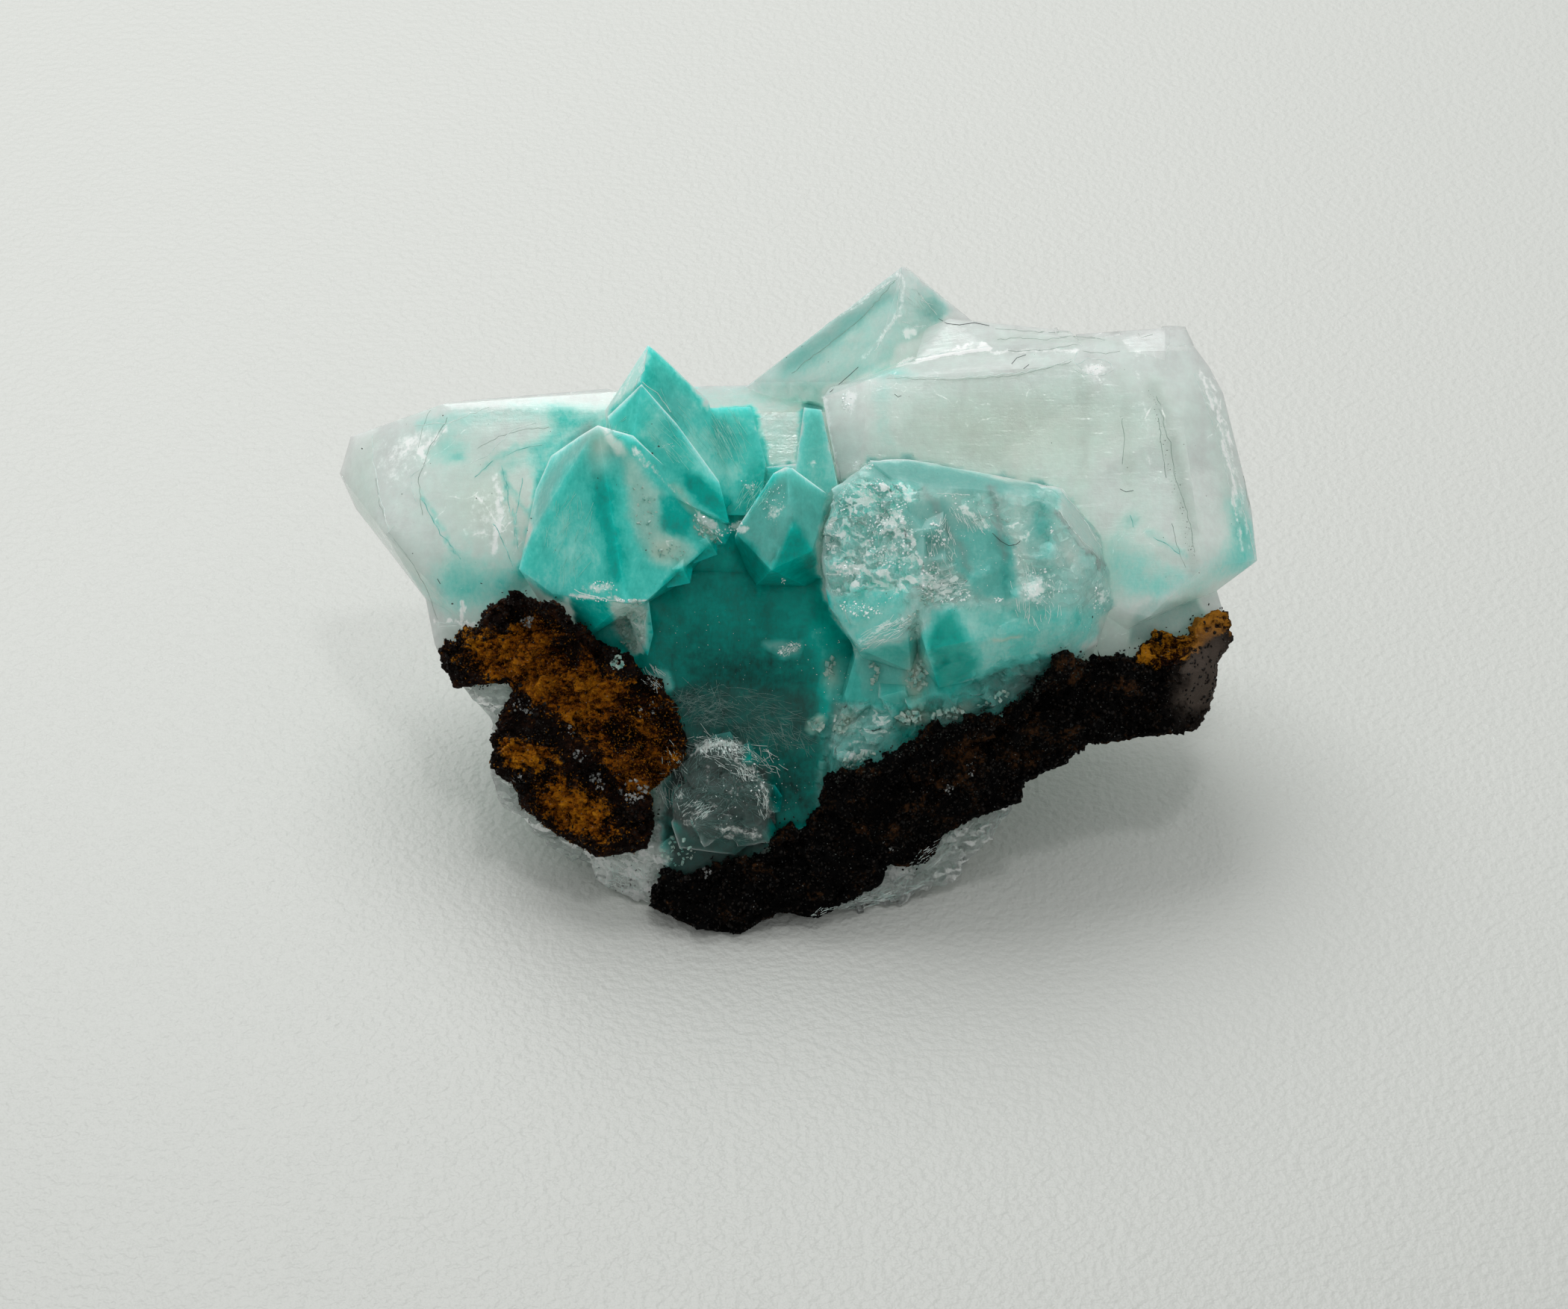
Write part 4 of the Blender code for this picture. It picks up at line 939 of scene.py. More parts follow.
@dataclass(frozen=True)
class FloorFinish:
    """The pale, finely pebbled floor, darker towards the camera as painted shade."""

    def build(self) -> bpy.types.Material:
        """Makes the material."""
        g = Graph("floor")
        p = g.place()
        pebbles = g.noise(p, 2.2, 2.0, 0.5)
        shade = g.noise(p, 0.02, 2.0)
        # Painted shade: the floor's colour darkens towards the camera, in place of the softbox's light falling off.
        reach = g.wire("ShaderNodeSeparateXYZ", {}, {0: p}, "Y").smooth(-120.0, 10.0)
        ground = g.mix(reach, opaque((0.475, 0.48, 0.46)), opaque((0.62, 0.625, 0.60)))
        colour = g.mix(shade * 0.1, ground, opaque((0.78, 0.78, 0.76)))
        return g.finish(g.principled(Base_Color=colour, Roughness=0.45, Normal=g.bump(pebbles, 0.4, 0.35)))


# Meshes


def evaluated(obj: bpy.types.Object) -> bpy.types.Mesh:
    """Applies an object's modifiers.

    Args:
        obj: The object, which keeps its own mesh.

    Returns:
        A new plain mesh.
    """
    bpy.context.view_layer.update()
    graph = bpy.context.evaluated_depsgraph_get()
    return bpy.data.meshes.new_from_object(obj.evaluated_get(graph), depsgraph=graph)


def linked(name: str, mesh: bpy.types.Mesh, material: bpy.types.Material | None = None) -> bpy.types.Object:
    """Puts a mesh into the scene.

    Args:
        name: The object's name.
        mesh: Its mesh.
        material: The one material it gets.

    Returns:
        The object.
    """
    obj = bpy.data.objects.new(name, mesh)
    bpy.context.scene.collection.objects.link(obj)
    if material:
        mesh.materials.clear()
        mesh.materials.append(material)
    return obj


def mesh_of(name: str, points: np.ndarray, faces: np.ndarray) -> bpy.types.Mesh:
    """Makes a mesh.

    Args:
        name: Its name.
        points: Its points in millimetres.
        faces: Corner indices, one face per row.

    Returns:
        The mesh.
    """
    mesh = bpy.data.meshes.new(name)
    mesh.from_pydata((points * MM).tolist(), [], faces.tolist())
    mesh.update()
    return mesh


def points_of(mesh: bpy.types.Mesh) -> np.ndarray:
    """A mesh's points in millimetres, one per row."""
    flat = np.empty(len(mesh.vertices) * 3, np.float32)
    mesh.vertices.foreach_get("co", flat)
    return flat.reshape(-1, 3).astype(float) / MM


def normals_of(mesh: bpy.types.Mesh) -> np.ndarray:
    """A mesh's vertex normals, one per row."""
    flat = np.empty(len(mesh.vertices) * 3, np.float32)
    mesh.vertex_normals.foreach_get("vector", flat)
    return flat.reshape(-1, 3).astype(float)


def welded(node: str) -> tuple[np.ndarray, np.ndarray]:
    """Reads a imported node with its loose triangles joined.

    Args:
        node: Name of the node.

    Returns:
        Its points in millimetres and its triangles.
    """
    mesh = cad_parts[node].data
    mesh.calc_loop_triangles()
    flat = np.empty(len(mesh.loop_triangles) * 3, np.int32)
    mesh.loop_triangles.foreach_get("vertices", flat)
    rounded = np.round(points_of(mesh), 4)
    points, index = np.unique(rounded, axis=0, return_inverse=True)
    faces = index.reshape(-1)[flat].reshape(-1, 3)
    real = (faces[:, 0] != faces[:, 1]) & (faces[:, 1] != faces[:, 2]) & (faces[:, 0] != faces[:, 2])
    return points, faces[real]


def refined(
    points: np.ndarray, faces: np.ndarray, least: float, longest: Callable[[np.ndarray], np.ndarray]
) -> tuple[np.ndarray, np.ndarray]:
    """Halves edges until none is longer than allowed, without moving the surface.

    Args:
        points: Points in millimetres.
        faces: Triangles.
        least: Length up to which no edge is halved.
        longest: Gives the greatest length of an edge around each point.

    Returns:
        The new points and triangles.
    """
    for _ in range(PASSES):
        ends = np.sort(np.stack([faces, np.roll(faces, -1, 1)], -1).reshape(-1, 2), 1)
        keys, index = np.unique(ends[:, 0] * len(points) + ends[:, 1], return_inverse=True)
        first, second = points[keys // len(points)], points[keys % len(points)]
        middle = (first + second) / 2
        length = np.linalg.norm(first - second, axis=1)
        split = length > least
        split[split] = length[split] > longest(middle[split])
        if not split.any():
            return points, faces
        made = np.full(len(keys), -1)
        made[split] = len(points) + np.arange(split.sum())
        points = np.concatenate([points, middle[split]])
        halves = made[index.reshape(-1)].reshape(-1, 3)
        faces = split_faces(points, faces, halves)
    return points, faces


def split_faces(points: np.ndarray, faces: np.ndarray, halves: np.ndarray) -> np.ndarray:
    """Divides triangles at the middles of their edges.

    Args:
        points: All points.
        faces: Triangles.
        halves: For each edge of each triangle, the point in its middle, or -1.

    Returns:
        The new triangles.
    """
    count = (halves >= 0).sum(1)
    parts = [faces[count == 0]]
    for shift in range(3):
        f = np.roll(faces, -shift, 1)
        h = np.roll(halves, -shift, 1)
        one = (count == 1) & (h[:, 0] >= 0)
        a, b, c, m = f[one, 0], f[one, 1], f[one, 2], h[one, 0]
        parts += [np.stack([a, m, c], 1), np.stack([m, b, c], 1)]
        two = (count == 2) & (h[:, 2] < 0)
        a, b, c, m, n = f[two, 0], f[two, 1], f[two, 2], h[two, 0], h[two, 1]
        parts.append(np.stack([m, b, n], 1))
        short = (np.linalg.norm(points[a] - points[n], axis=1) < np.linalg.norm(points[m] - points[c], axis=1))[:, None]
        parts.append(np.where(short, np.stack([a, m, n], 1), np.stack([a, m, c], 1)))
        parts.append(np.where(short, np.stack([a, n, c], 1), np.stack([m, n, c], 1)))
    a, b, c = faces[count == 3].T
    m, n, o = halves[count == 3].T
    parts += [np.stack(corners, 1) for corners in ((a, m, o), (m, b, n), (o, n, c), (m, n, o))]
    return np.concatenate(parts)


def spread(values: np.ndarray, faces: np.ndarray, steps: int) -> np.ndarray:
    """Averages a value over the mesh.

    Args:
        values: One value per point.
        faces: Triangles.
        steps: How many times it is averaged with its neighbours.

    Returns:
        The averaged values.
    """
    first = faces.reshape(-1)
    second = np.roll(faces, -1, 1).reshape(-1)
    number = np.bincount(first, minlength=len(values)) + np.bincount(second, minlength=len(values))
    for _ in range(steps):
        total = np.bincount(first, values[second], len(values)) + np.bincount(second, values[first], len(values))
        values = 0.5 * values + 0.5 * total / np.maximum(number, 1)
    return values


def store(mesh: bpy.types.Mesh, name: str, values: np.ndarray) -> None:
    """Writes a number per point into a mesh.

    Args:
        mesh: The mesh.
        name: The attribute's name.
        values: One value per point.
    """
    layer = mesh.attributes.new(name, "FLOAT", "POINT")
    layer.data.foreach_set("value", values.astype(np.float32))


def distance_to(points: np.ndarray, others: np.ndarray) -> np.ndarray:
    """Distance from each point to the nearest of the others, in millimetres."""
    tree = KDTree(len(others))
    for index, other in enumerate(others):
        tree.insert(other, index)
    tree.balance()
    return np.array([tree.find(point)[2] for point in points])


def ride(obj: bpy.types.Object, node: str | None = None) -> None:
    """Hands a finished piece to the frame.

    Args:
        obj: The piece.
        node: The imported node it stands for, if it does.
    """
    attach(obj, "root")
    if node:
        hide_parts(node)
    log.info("%s: %d faces", obj.name, len(obj.data.polygons))


# Scattering and sweeping with Geometry Nodes


@dataclass
class Scatter:
    """Strews copies of a small shape over a surface.

    Attributes:
        name: Name of the piece.
        density: Copies per square millimetre where the weight is 1.
        weight: The painted number that thins them out.
        low: Smallest size along each axis.
        high: Largest size along each axis.
        tilt: How far a copy may lean, in degrees.
        seed: Picks the scatter.
    """

    name: str
    density: float
    weight: str
    low: tuple[float, float, float]
    high: tuple[float, float, float]
    tilt: float
    seed: int

    def tree(self) -> bpy.types.NodeTree:
        """Builds the node tree, whose sizes are named inputs."""
        tree = bpy.data.node_groups.new(self.name, "GeometryNodeTree")
        face = tree.interface
        face.new_socket("Geometry", in_out="INPUT", socket_type="NodeSocketGeometry")
        for name, kind in (("Shape", "Object"), ("Material", "Material"), ("Density", "Float"), ("Seed", "Int")):
            face.new_socket(name, in_out="INPUT", socket_type="NodeSocket" + kind)
        for name in ("Smallest", "Largest", "Tilt"):
            face.new_socket(name, in_out="INPUT", socket_type="NodeSocketVector")
        face.new_socket("Geometry", in_out="OUTPUT", socket_type="NodeSocketGeometry")
        nodes, links = tree.nodes, tree.links
        given = nodes.new("NodeGroupInput").outputs
        result = nodes.new("NodeGroupOutput").inputs
        weight = nodes.new("GeometryNodeInputNamedAttribute")
        weight.data_type = "FLOAT"
        weight.inputs["Name"].default_value = self.weight
        thinned = nodes.new("ShaderNodeMath")
        thinned.operation = "MULTIPLY"
        points = nodes.new("GeometryNodeDistributePointsOnFaces")
        shape = nodes.new("GeometryNodeObjectInfo")
        leans = nodes.new("FunctionNodeRandomValue")
        leans.data_type = "FLOAT_VECTOR"
        backward = nodes.new("ShaderNodeVectorMath")
        backward.operation = "SCALE"
        backward.inputs["Scale"].default_value = -1.0
        turned = nodes.new("FunctionNodeRotateEuler")
        turned.space = "LOCAL"
        sizes = nodes.new("FunctionNodeRandomValue")
        sizes.data_type = "FLOAT_VECTOR"
        copies = nodes.new("GeometryNodeInstanceOnPoints")
        real = nodes.new("GeometryNodeRealizeInstances")
        dressed = nodes.new("GeometryNodeSetMaterial")
        pairs = (
            (weight.outputs["Attribute"], thinned.inputs[0]),
            (given["Density"], thinned.inputs[1]),
            (given["Geometry"], points.inputs["Mesh"]),
            (thinned.outputs[0], points.inputs["Density"]),
            (given["Seed"], points.inputs["Seed"]),
            (given["Shape"], shape.inputs["Object"]),
            (given["Tilt"], backward.inputs[0]),
            (backward.outputs[0], leans.inputs["Min"]),
            (given["Tilt"], leans.inputs["Max"]),
            (given["Seed"], leans.inputs["Seed"]),
            (points.outputs["Rotation"], turned.inputs[0]),
            (leans.outputs["Value"], turned.inputs[1]),
            (given["Smallest"], sizes.inputs["Min"]),
            (given["Largest"], sizes.inputs["Max"]),
            (given["Seed"], sizes.inputs["Seed"]),
            (points.outputs["Points"], copies.inputs["Points"]),
            (shape.outputs["Geometry"], copies.inputs["Instance"]),
            (turned.outputs[0], copies.inputs["Rotation"]),
            (sizes.outputs["Value"], copies.inputs["Scale"]),
            (copies.outputs[0], real.inputs[0]),
            (real.outputs[0], dressed.inputs["Geometry"]),
            (given["Material"], dressed.inputs["Material"]),
            (dressed.outputs[0], result["Geometry"]),
        )
        for start, end in pairs:
            links.new(start, end)
        return tree

    def build(self, ground: bpy.types.Object, shape: bpy.types.Mesh, material: bpy.types.Material) -> bpy.types.Object:
        """Scatters the shape.

        Args:
            ground: The piece it lies on.
            shape: The shape, one unit in size.
            material: Its finish.

        Returns:
            One object with all copies.
        """
        carrier = linked(self.name + "_ground", ground.data.copy())
        helper = linked(self.name + "_shape", shape)
        lean = math.radians(self.tilt)
        values = {
            "Shape": helper,
            "Material": material,
            "Density": self.density / MM**2,
            "Seed": self.seed,
            "Smallest": Vector(self.low) * MM,
            "Largest": Vector(self.high) * MM,
            "Tilt": Vector((lean, lean, math.pi)),
        }
        run_nodes(carrier, self.tree(), values)
        made = linked(self.name, evaluated(carrier))
        bpy.data.objects.remove(carrier)
        bpy.data.objects.remove(helper)
        return made


def run_nodes(obj: bpy.types.Object, tree: bpy.types.NodeTree, values: dict[str, Any]) -> None:
    """Puts a node tree on an object and sets its inputs.

    Args:
        obj: The object.
        tree: The tree.
        values: A value for each named input.
    """
    modifier = obj.modifiers.new(tree.name, "NODES")
    modifier.node_group = tree
    for item in tree.interface.items_tree:
        if item.in_out == "INPUT" and item.name in values:
            modifier[item.identifier] = values[item.name]


@dataclass
class Sweep:
    """Sweeps a thin round section along paths.

    Attributes:
        name: Name of the piece.
        radius: Radius in millimetres.
        sides: Number of sides of the section.
    """

    name: str
    radius: float
    sides: int = 4

    def tree(self) -> bpy.types.NodeTree:
        """Builds the node tree, whose sizes are named inputs."""
        tree = bpy.data.node_groups.new(self.name, "GeometryNodeTree")
        face = tree.interface
        face.new_socket("Geometry", in_out="INPUT", socket_type="NodeSocketGeometry")
        for name, kind in (("Radius", "Float"), ("Sides", "Int"), ("Material", "Material")):
            face.new_socket(name, in_out="INPUT", socket_type="NodeSocket" + kind)
        face.new_socket("Geometry", in_out="OUTPUT", socket_type="NodeSocketGeometry")
        nodes, links = tree.nodes, tree.links
        given = nodes.new("NodeGroupInput").outputs
        result = nodes.new("NodeGroupOutput").inputs
        curve = nodes.new("GeometryNodeMeshToCurve")
        section = nodes.new("GeometryNodeCurvePrimitiveCircle")
        tube = nodes.new("GeometryNodeCurveToMesh")
        tube.inputs["Fill Caps"].default_value = True
        real = nodes.new("GeometryNodeRealizeInstances")
        dressed = nodes.new("GeometryNodeSetMaterial")
        pairs = (
            (given["Geometry"], curve.inputs["Mesh"]),
            (given["Sides"], section.inputs["Resolution"]),
            (given["Radius"], section.inputs["Radius"]),
            (curve.outputs["Curve"], tube.inputs["Curve"]),
            (section.outputs["Curve"], tube.inputs["Profile Curve"]),
            (tube.outputs["Mesh"], real.inputs[0]),
            (real.outputs[0], dressed.inputs["Geometry"]),
            (given["Material"], dressed.inputs["Material"]),
            (dressed.outputs[0], result["Geometry"]),
        )
        for start, end in pairs:
            links.new(start, end)
        return tree

    def build(self, paths: Sequence[np.ndarray], material: bpy.types.Material) -> bpy.types.Object:
        """Sweeps the section.

        Args:
            paths: The points of each path, in millimetres.
            material: The finish.

        Returns:
            One object with all tubes.
        """
        points = np.concatenate(paths)
        edges, start = [], 0
        for path in paths:
            edges += [(start + n, start + n + 1) for n in range(len(path) - 1)]
            start += len(path)
        mesh = bpy.data.meshes.new(self.name + "_paths")
        mesh.from_pydata((points * MM).tolist(), edges, [])
        carrier = linked(self.name + "_paths", mesh)
        run_nodes(carrier, self.tree(), {"Radius": self.radius * MM, "Sides": self.sides, "Material": material})
        made = linked(self.name, evaluated(carrier))
        bpy.data.objects.remove(carrier)
        return made


def pebble(seed: int) -> bpy.types.Mesh:
    """Makes a rough grain of twenty faces.

    Args:
        seed: Picks its shape.

    Returns:
        A closed mesh about one unit across.
    """
    golden = (1 + math.sqrt(5)) / 2
    corners = []
    for a in (-1, 1):
        for b in (-golden, golden):
            corners += [(0, a, b), (a, b, 0), (b, 0, a)]
    points = np.array(corners, float)
    points /= np.linalg.norm(points, axis=1)[:, None]
    faces = []
    for i in range(12):
        for j in range(i + 1, 12):
            for k in range(j + 1, 12):
                sides = [np.linalg.norm(points[a] - points[b]) for a, b in ((i, j), (j, k), (i, k))]
                if max(sides) < 1.2:
                    out = np.linalg.det(points[[i, j, k]]) > 0
                    faces.append((i, j, k) if out else (i, k, j))
    rng = np.random.default_rng(seed)
    points *= rng.uniform(0.36, 0.58, (12, 1))
    mesh = bpy.data.meshes.new("pebble")
    mesh.from_pydata(points.tolist(), [], faces)
    return mesh


def cleavage_chip() -> bpy.types.Mesh:
    """Makes a thin rhomb, as calcite cleaves, one unit across."""
    mesh = bpy.data.meshes.new("chip")
    base = [(-0.5, -0.4), (0.35, -0.45), (0.5, 0.4), (-0.35, 0.45)]
    points = [(x, y, -0.5) for x, y in base] + [(0.85 * x + 0.05, 0.85 * y, 0.5) for x, y in base]
    faces = [(3, 2, 1, 0), (4, 5, 6, 7)] + [(n, (n + 1) % 4, (n + 1) % 4 + 4, n + 4) for n in range(4)]
    mesh.from_pydata(points, [], faces)
    return mesh


def bristle() -> bpy.types.Mesh:
    """Makes a three-sided spike, one unit high."""
    mesh = bpy.data.meshes.new("bristle")
    base = [(math.cos(a), math.sin(a), -0.15) for a in (0.0, 2.094, 4.189)]
    mesh.from_pydata([*base, (0.3, 0.0, 1.0)], [], [(2, 1, 0), (0, 1, 3), (1, 2, 3), (2, 0, 3)])
    return mesh


# The pieces


@dataclass
class CalciteCluster:
    """The intergrown calcite crystals.

    Attributes:
        fine: Longest edge on the front, in millimetres.
        frosted: Longest edge where the front is frosted.
        coarse: Longest edge elsewhere.
        warp: How far the painted zones are warped, in pixels.
        step: Height of the steps in frosted parts, in millimetres.
    """

    fine: float = 0.38
    frosted: float = 0.27
    coarse: float = 0.9
    warp: float = 5.0
    step: float = 0.16

    def build(self) -> bpy.types.Object:
        """Builds and dresses the cluster."""
        points, faces = welded("calcite_cluster")
        self.corners = points
        solid = BVHTree.FromPolygons(points.tolist(), faces.tolist())
        self.solid = solid
        triangles = faces
        points, faces = refined(points, faces, 1.6, lambda places: np.full(len(places), 1.6))
        normals = normals_of(mesh_of("draft", points, faces))
        away = (normals @ FRONT.sight) > 0.15
        back = points[away]
        near = KDTree(len(points))
        for index, point in enumerate(points):
            near.insert(point, index)
        near.balance()
        log.info("front from %d of %d points", len(points) - len(back), len(points))

        def longest(places: np.ndarray) -> np.ndarray:
            """Longest edge allowed around each place."""
            hidden = np.array([away[near.find(place)[1]] for place in places])
            frost = self.traits(places, [stroke for stroke in PAINT if FROST in getattr(stroke, "sets", {})])[FROST]
            return np.where(hidden, self.coarse, np.where(frost > 0.45, self.frosted, self.fine))

        points, faces = refined(points, faces, self.frosted, longest)
        log.info("refined to %d triangles", len(faces))
        mesh = mesh_of("calcite_visual", points, faces)
        log.info("meshed")
        normals = normals_of(mesh)
        traits = self.traits(points)
        seen = self.seen(points, normals, solid)
        weight = spread(seen.astype(float), faces, 12)
        weight = np.clip(weight / 0.3, 0, 1)
        log.info("painted")
        behind = self.hidden_traits(points)
        traits = {trait: np.clip(weight * value + (1 - weight) * behind[trait], 0, 1) for trait, value in traits.items()}
        # Painted highlight along the crystals' convex edges.
        edge = self.edge_highlight(points, self.corners, triangles)
        molten = np.stack([spread(axis, faces, 14) for axis in points.T], -1)
        points = points + np.clip((traits[FROST] - 0.3) / 0.2, 0, 1)[:, None] * (molten - points)
        points = points + normals * self.relief(points, traits)[:, None]
        points = np.clip(points, BOX[0], BOX[1])
        mesh.vertices.foreach_set("co", (points * MM).astype(np.float32).ravel())
        for trait, values in traits.items():
            store(mesh, trait.value, values)
        store(mesh, "edge", edge)
        self.points = points
        mesh.shade_smooth()
        mesh.set_sharp_from_angle(angle=math.radians(24))
        mesh.polygons.foreach_set("use_smooth", traits[FROST][faces].mean(1) < 0.55)
        return linked("calcite_visual", mesh, CalciteFinish().build())

    def traits(self, points: np.ndarray, strokes: Sequence[Patch | Spot | Streak] = PAINT) -> dict[Trait, np.ndarray]:
        """Paints the zones that show from the front.

        Args:
            points: Points in millimetres.
            strokes: What is painted.

        Returns:
            The value of each trait at each point.
        """
        pixels = FRONT.project(points)
        pixels = pixels + self.warp * np.stack([fractal(points, 1.0, seed, 3) for seed in (31, 37)], -1)
        traits = {trait: np.full(len(points), value) for trait, value in CLEAR.items()}
        for stroke in strokes:
            stroke.paint(pixels, traits)
        return {trait: np.clip(values, 0, 1) for trait, values in traits.items()}

    def hidden_traits(self, points: np.ndarray) -> dict[Trait, np.ndarray]:
        """Gives the hidden sides a like mixture of pale and teal.

        Args:
            points: Points in millimetres.

        Returns:
            The value of each trait at each point.
        """
        middle = np.exp(-(((points - [-4.0, 2.0, 6.0]) / [9.0, 12.0, 8.0]) ** 2).sum(1))
        crown = np.exp(-(((points - [-5.5, -2.5, 19.0]) / [7.0, 6.0, 6.5]) ** 2).sum(1))
        clouds = fractal(points, 9.0, 71, 3)
        return {
            AQUA: np.clip(0.06 + 0.4 * middle + 0.5 * crown + 0.12 * clouds, 0.02, 0.7),
            MILK: 0.58 + 0.2 * middle,
            FROST: 0.3 + 0.3 * (fractal(points, 6.0, 73, 2) > 0.2),
            # Painted shade: the hidden sides are greyer below 5 mm, as the underside in front.
            GREY: 0.05 + 0.1 * (points[:, 2] < 5.0),
            WHITE: (0.25 + 0.12 * np.clip(clouds, 0, 1)) * (1 - crown),
            WARM: np.full(len(points), 0.03),
        }

    def edge_highlight(self, points: np.ndarray, corners: np.ndarray, triangles: np.ndarray) -> np.ndarray:
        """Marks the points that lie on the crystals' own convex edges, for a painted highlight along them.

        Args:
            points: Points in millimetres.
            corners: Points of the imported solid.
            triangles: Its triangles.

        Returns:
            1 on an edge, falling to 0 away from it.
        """
        sides = np.cross(corners[triangles[:, 1]] - corners[triangles[:, 0]], corners[triangles[:, 2]] - corners[triangles[:, 0]])
        sides /= np.maximum(np.linalg.norm(sides, axis=1), 1e-12)[:, None]
        ends = np.sort(np.stack([triangles, np.roll(triangles, -1, 1)], -1).reshape(-1, 2), 1)
        owner = np.repeat(np.arange(len(triangles)), 3)
        order = np.lexsort((ends[:, 1], ends[:, 0]))
        ends, owner = ends[order], owner[order]
        pair = np.flatnonzero((ends[1:] == ends[:-1]).all(1))
        one, two = owner[pair], owner[pair + 1]
        turn = (sides[one] * sides[two]).sum(1)
        inner = corners[triangles[two]].mean(1) - corners[triangles[one]].mean(1)
        convex = ((sides[one] * inner).sum(1) < 0) & (turn < 0.93)
        samples = []
        for start, end in corners[ends[pair[convex]]]:
            number = max(int(np.linalg.norm(end - start) / 0.08), 1)
            samples.append(start + (end - start) * np.linspace(0, 1, number + 1)[:, None])
        gap = distance_to(points, np.concatenate(samples))
        return np.exp(-((gap / 0.11) ** 2))

    def seen(self, points: np.ndarray, normals: np.ndarray, solid: BVHTree) -> np.ndarray:
        """Finds the points that show from the front.

        Args:
            points: Points in millimetres.
            normals: Their normals.
            solid: The surface that may hide them.

        Returns:
            True for each point that shows.
        """
        toward = FRONT.eye - points
        toward /= np.linalg.norm(toward, axis=1)[:, None]
        facing = (normals * toward).sum(1) > -0.05
        starts = points + normals * 0.02 + toward * 0.05
        found = np.zeros(len(points), bool)
        for index in np.flatnonzero(facing):
            found[index] = solid.ray_cast(Vector(starts[index]), Vector(toward[index]))[0] is None
        return found

    def relief(self, points: np.ndarray, traits: dict[Trait, np.ndarray]) -> np.ndarray:
        """Raises the frosted parts into steps and waves the smooth ones slightly.

        Args:
            points: Points in millimetres.
            traits: What is painted there.

        Returns:
            The height to add at each point, in millimetres.
        """
        frost = np.clip((traits[FROST] - 0.35) / 0.65, 0, 1)
        lean, away = nearest_cell(points, 0.9, 5)
        facets = (lean * away).sum(1) * 0.9 + lean[:, 0] * self.step
        lean, away = nearest_cell(points, 0.42, 9)
        facets += (lean * away).sum(1) * 0.6 + lean[:, 0] * self.step * 0.5
        return frost * (facets - 0.05) + 0.012 * fractal(points, 1.6, 3, 2)


@dataclass
class MatrixCrust:
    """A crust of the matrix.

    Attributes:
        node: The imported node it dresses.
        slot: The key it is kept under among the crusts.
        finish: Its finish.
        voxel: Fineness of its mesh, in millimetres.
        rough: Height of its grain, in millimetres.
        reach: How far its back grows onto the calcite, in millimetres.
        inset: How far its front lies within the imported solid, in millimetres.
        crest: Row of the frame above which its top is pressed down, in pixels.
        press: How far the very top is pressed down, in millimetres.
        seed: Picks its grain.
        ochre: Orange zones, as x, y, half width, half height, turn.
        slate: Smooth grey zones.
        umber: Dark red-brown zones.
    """

    node: str
    slot: str
    finish: CrustFinish
    voxel: float = 0.12
    rough: float = 0.13
    reach: float = 0.5
    inset: float = 0.1
    crest: float = 0.0
    press: float = 0.55
    seed: int = 1
    ochre: tuple[tuple[float, ...], ...] = ()
    slate: tuple[tuple[float, ...], ...] = ()
    umber: tuple[tuple[float, ...], ...] = ()

    def build(self) -> bpy.types.Object:
        """Builds and dresses the crust."""
        work = linked("crust_work", mesh_of("crust_work", *welded(self.node)))
        remesh = work.modifiers.new("remesh", "REMESH")
        remesh.mode = "VOXEL"
        remesh.voxel_size = self.voxel * MM
        smooth = work.modifiers.new("smooth", "SMOOTH")
        smooth.iterations = 2
        mesh = evaluated(work)
        bpy.data.objects.remove(work)
        points, normals = points_of(mesh), normals_of(mesh)
        pixels = FRONT.project(points) + 9 * np.stack([fractal(points, 0.9, s, 4) for s in (41, 43)], -1)
        zones = {}
        for name in ("ochre", "slate", "umber"):
            zones[name] = np.zeros(len(points))
            for x, y, width, height, turn in getattr(self, name):
                single = {AQUA: np.zeros(len(points))}
                Spot(AQUA, 1.6, x, y, width, height, turn).paint(pixels, single)
                zones[name] = np.maximum(zones[name], np.clip(single[AQUA], 0, 1))
        behind = np.clip(normals @ FRONT.sight, 0, 1)
        under = np.clip(-1.4 * normals[:, 2], 0, 1)
        lean, away = nearest_cell(points, 0.34, self.seed)
        grain = (lean * away).sum(1) * 1.6 + lean[:, 0] * self.rough
        coarse = self.rough * 2.0 * fractal(points, 1.3, self.seed + 20, 4)
        for size in (1.9, 0.9):
            lean, away = nearest_cell(points, size, self.seed + 80)
            coarse += (lean * away).sum(1) * 0.5 + lean[:, 0] * self.rough * 2.0
        coarse += self.rough * 0.8 * fractal(points * [0.45, 1.7, 1.7], 1.0, self.seed + 60, 3) * zones["ochre"]
        # Depth of the hollows of the relief, kept for painted shade in them.
        pit = np.clip(0.5 - (grain + coarse) / (self.rough * 5), 0, 1)
        shift = self.reach * behind + (grain + coarse) * (1 - 0.85 * zones["slate"]) * (1 - 0.7 * under) - self.inset * (1 - behind)
        points = points + normals * shift[:, None]
        above = np.clip((self.crest - FRONT.project(points)[:, 1]) / 75, 0, 1)
        points = np.clip(points - self.press * above[:, None] * FRONT.up, BOX[0], BOX[1])
        mesh.vertices.foreach_set("co", (points * MM).astype(np.float32).ravel())
        for name, values in zones.items():
            store(mesh, name, values)
        store(mesh, "pit", pit)
        store(mesh, "rim", (1 - zones["ochre"]) * (1 - under))
        mesh.shade_smooth()
        mesh.set_sharp_from_angle(angle=math.radians(40))
        self.points = points
        return linked(self.node + "_visual", mesh, self.finish.build())


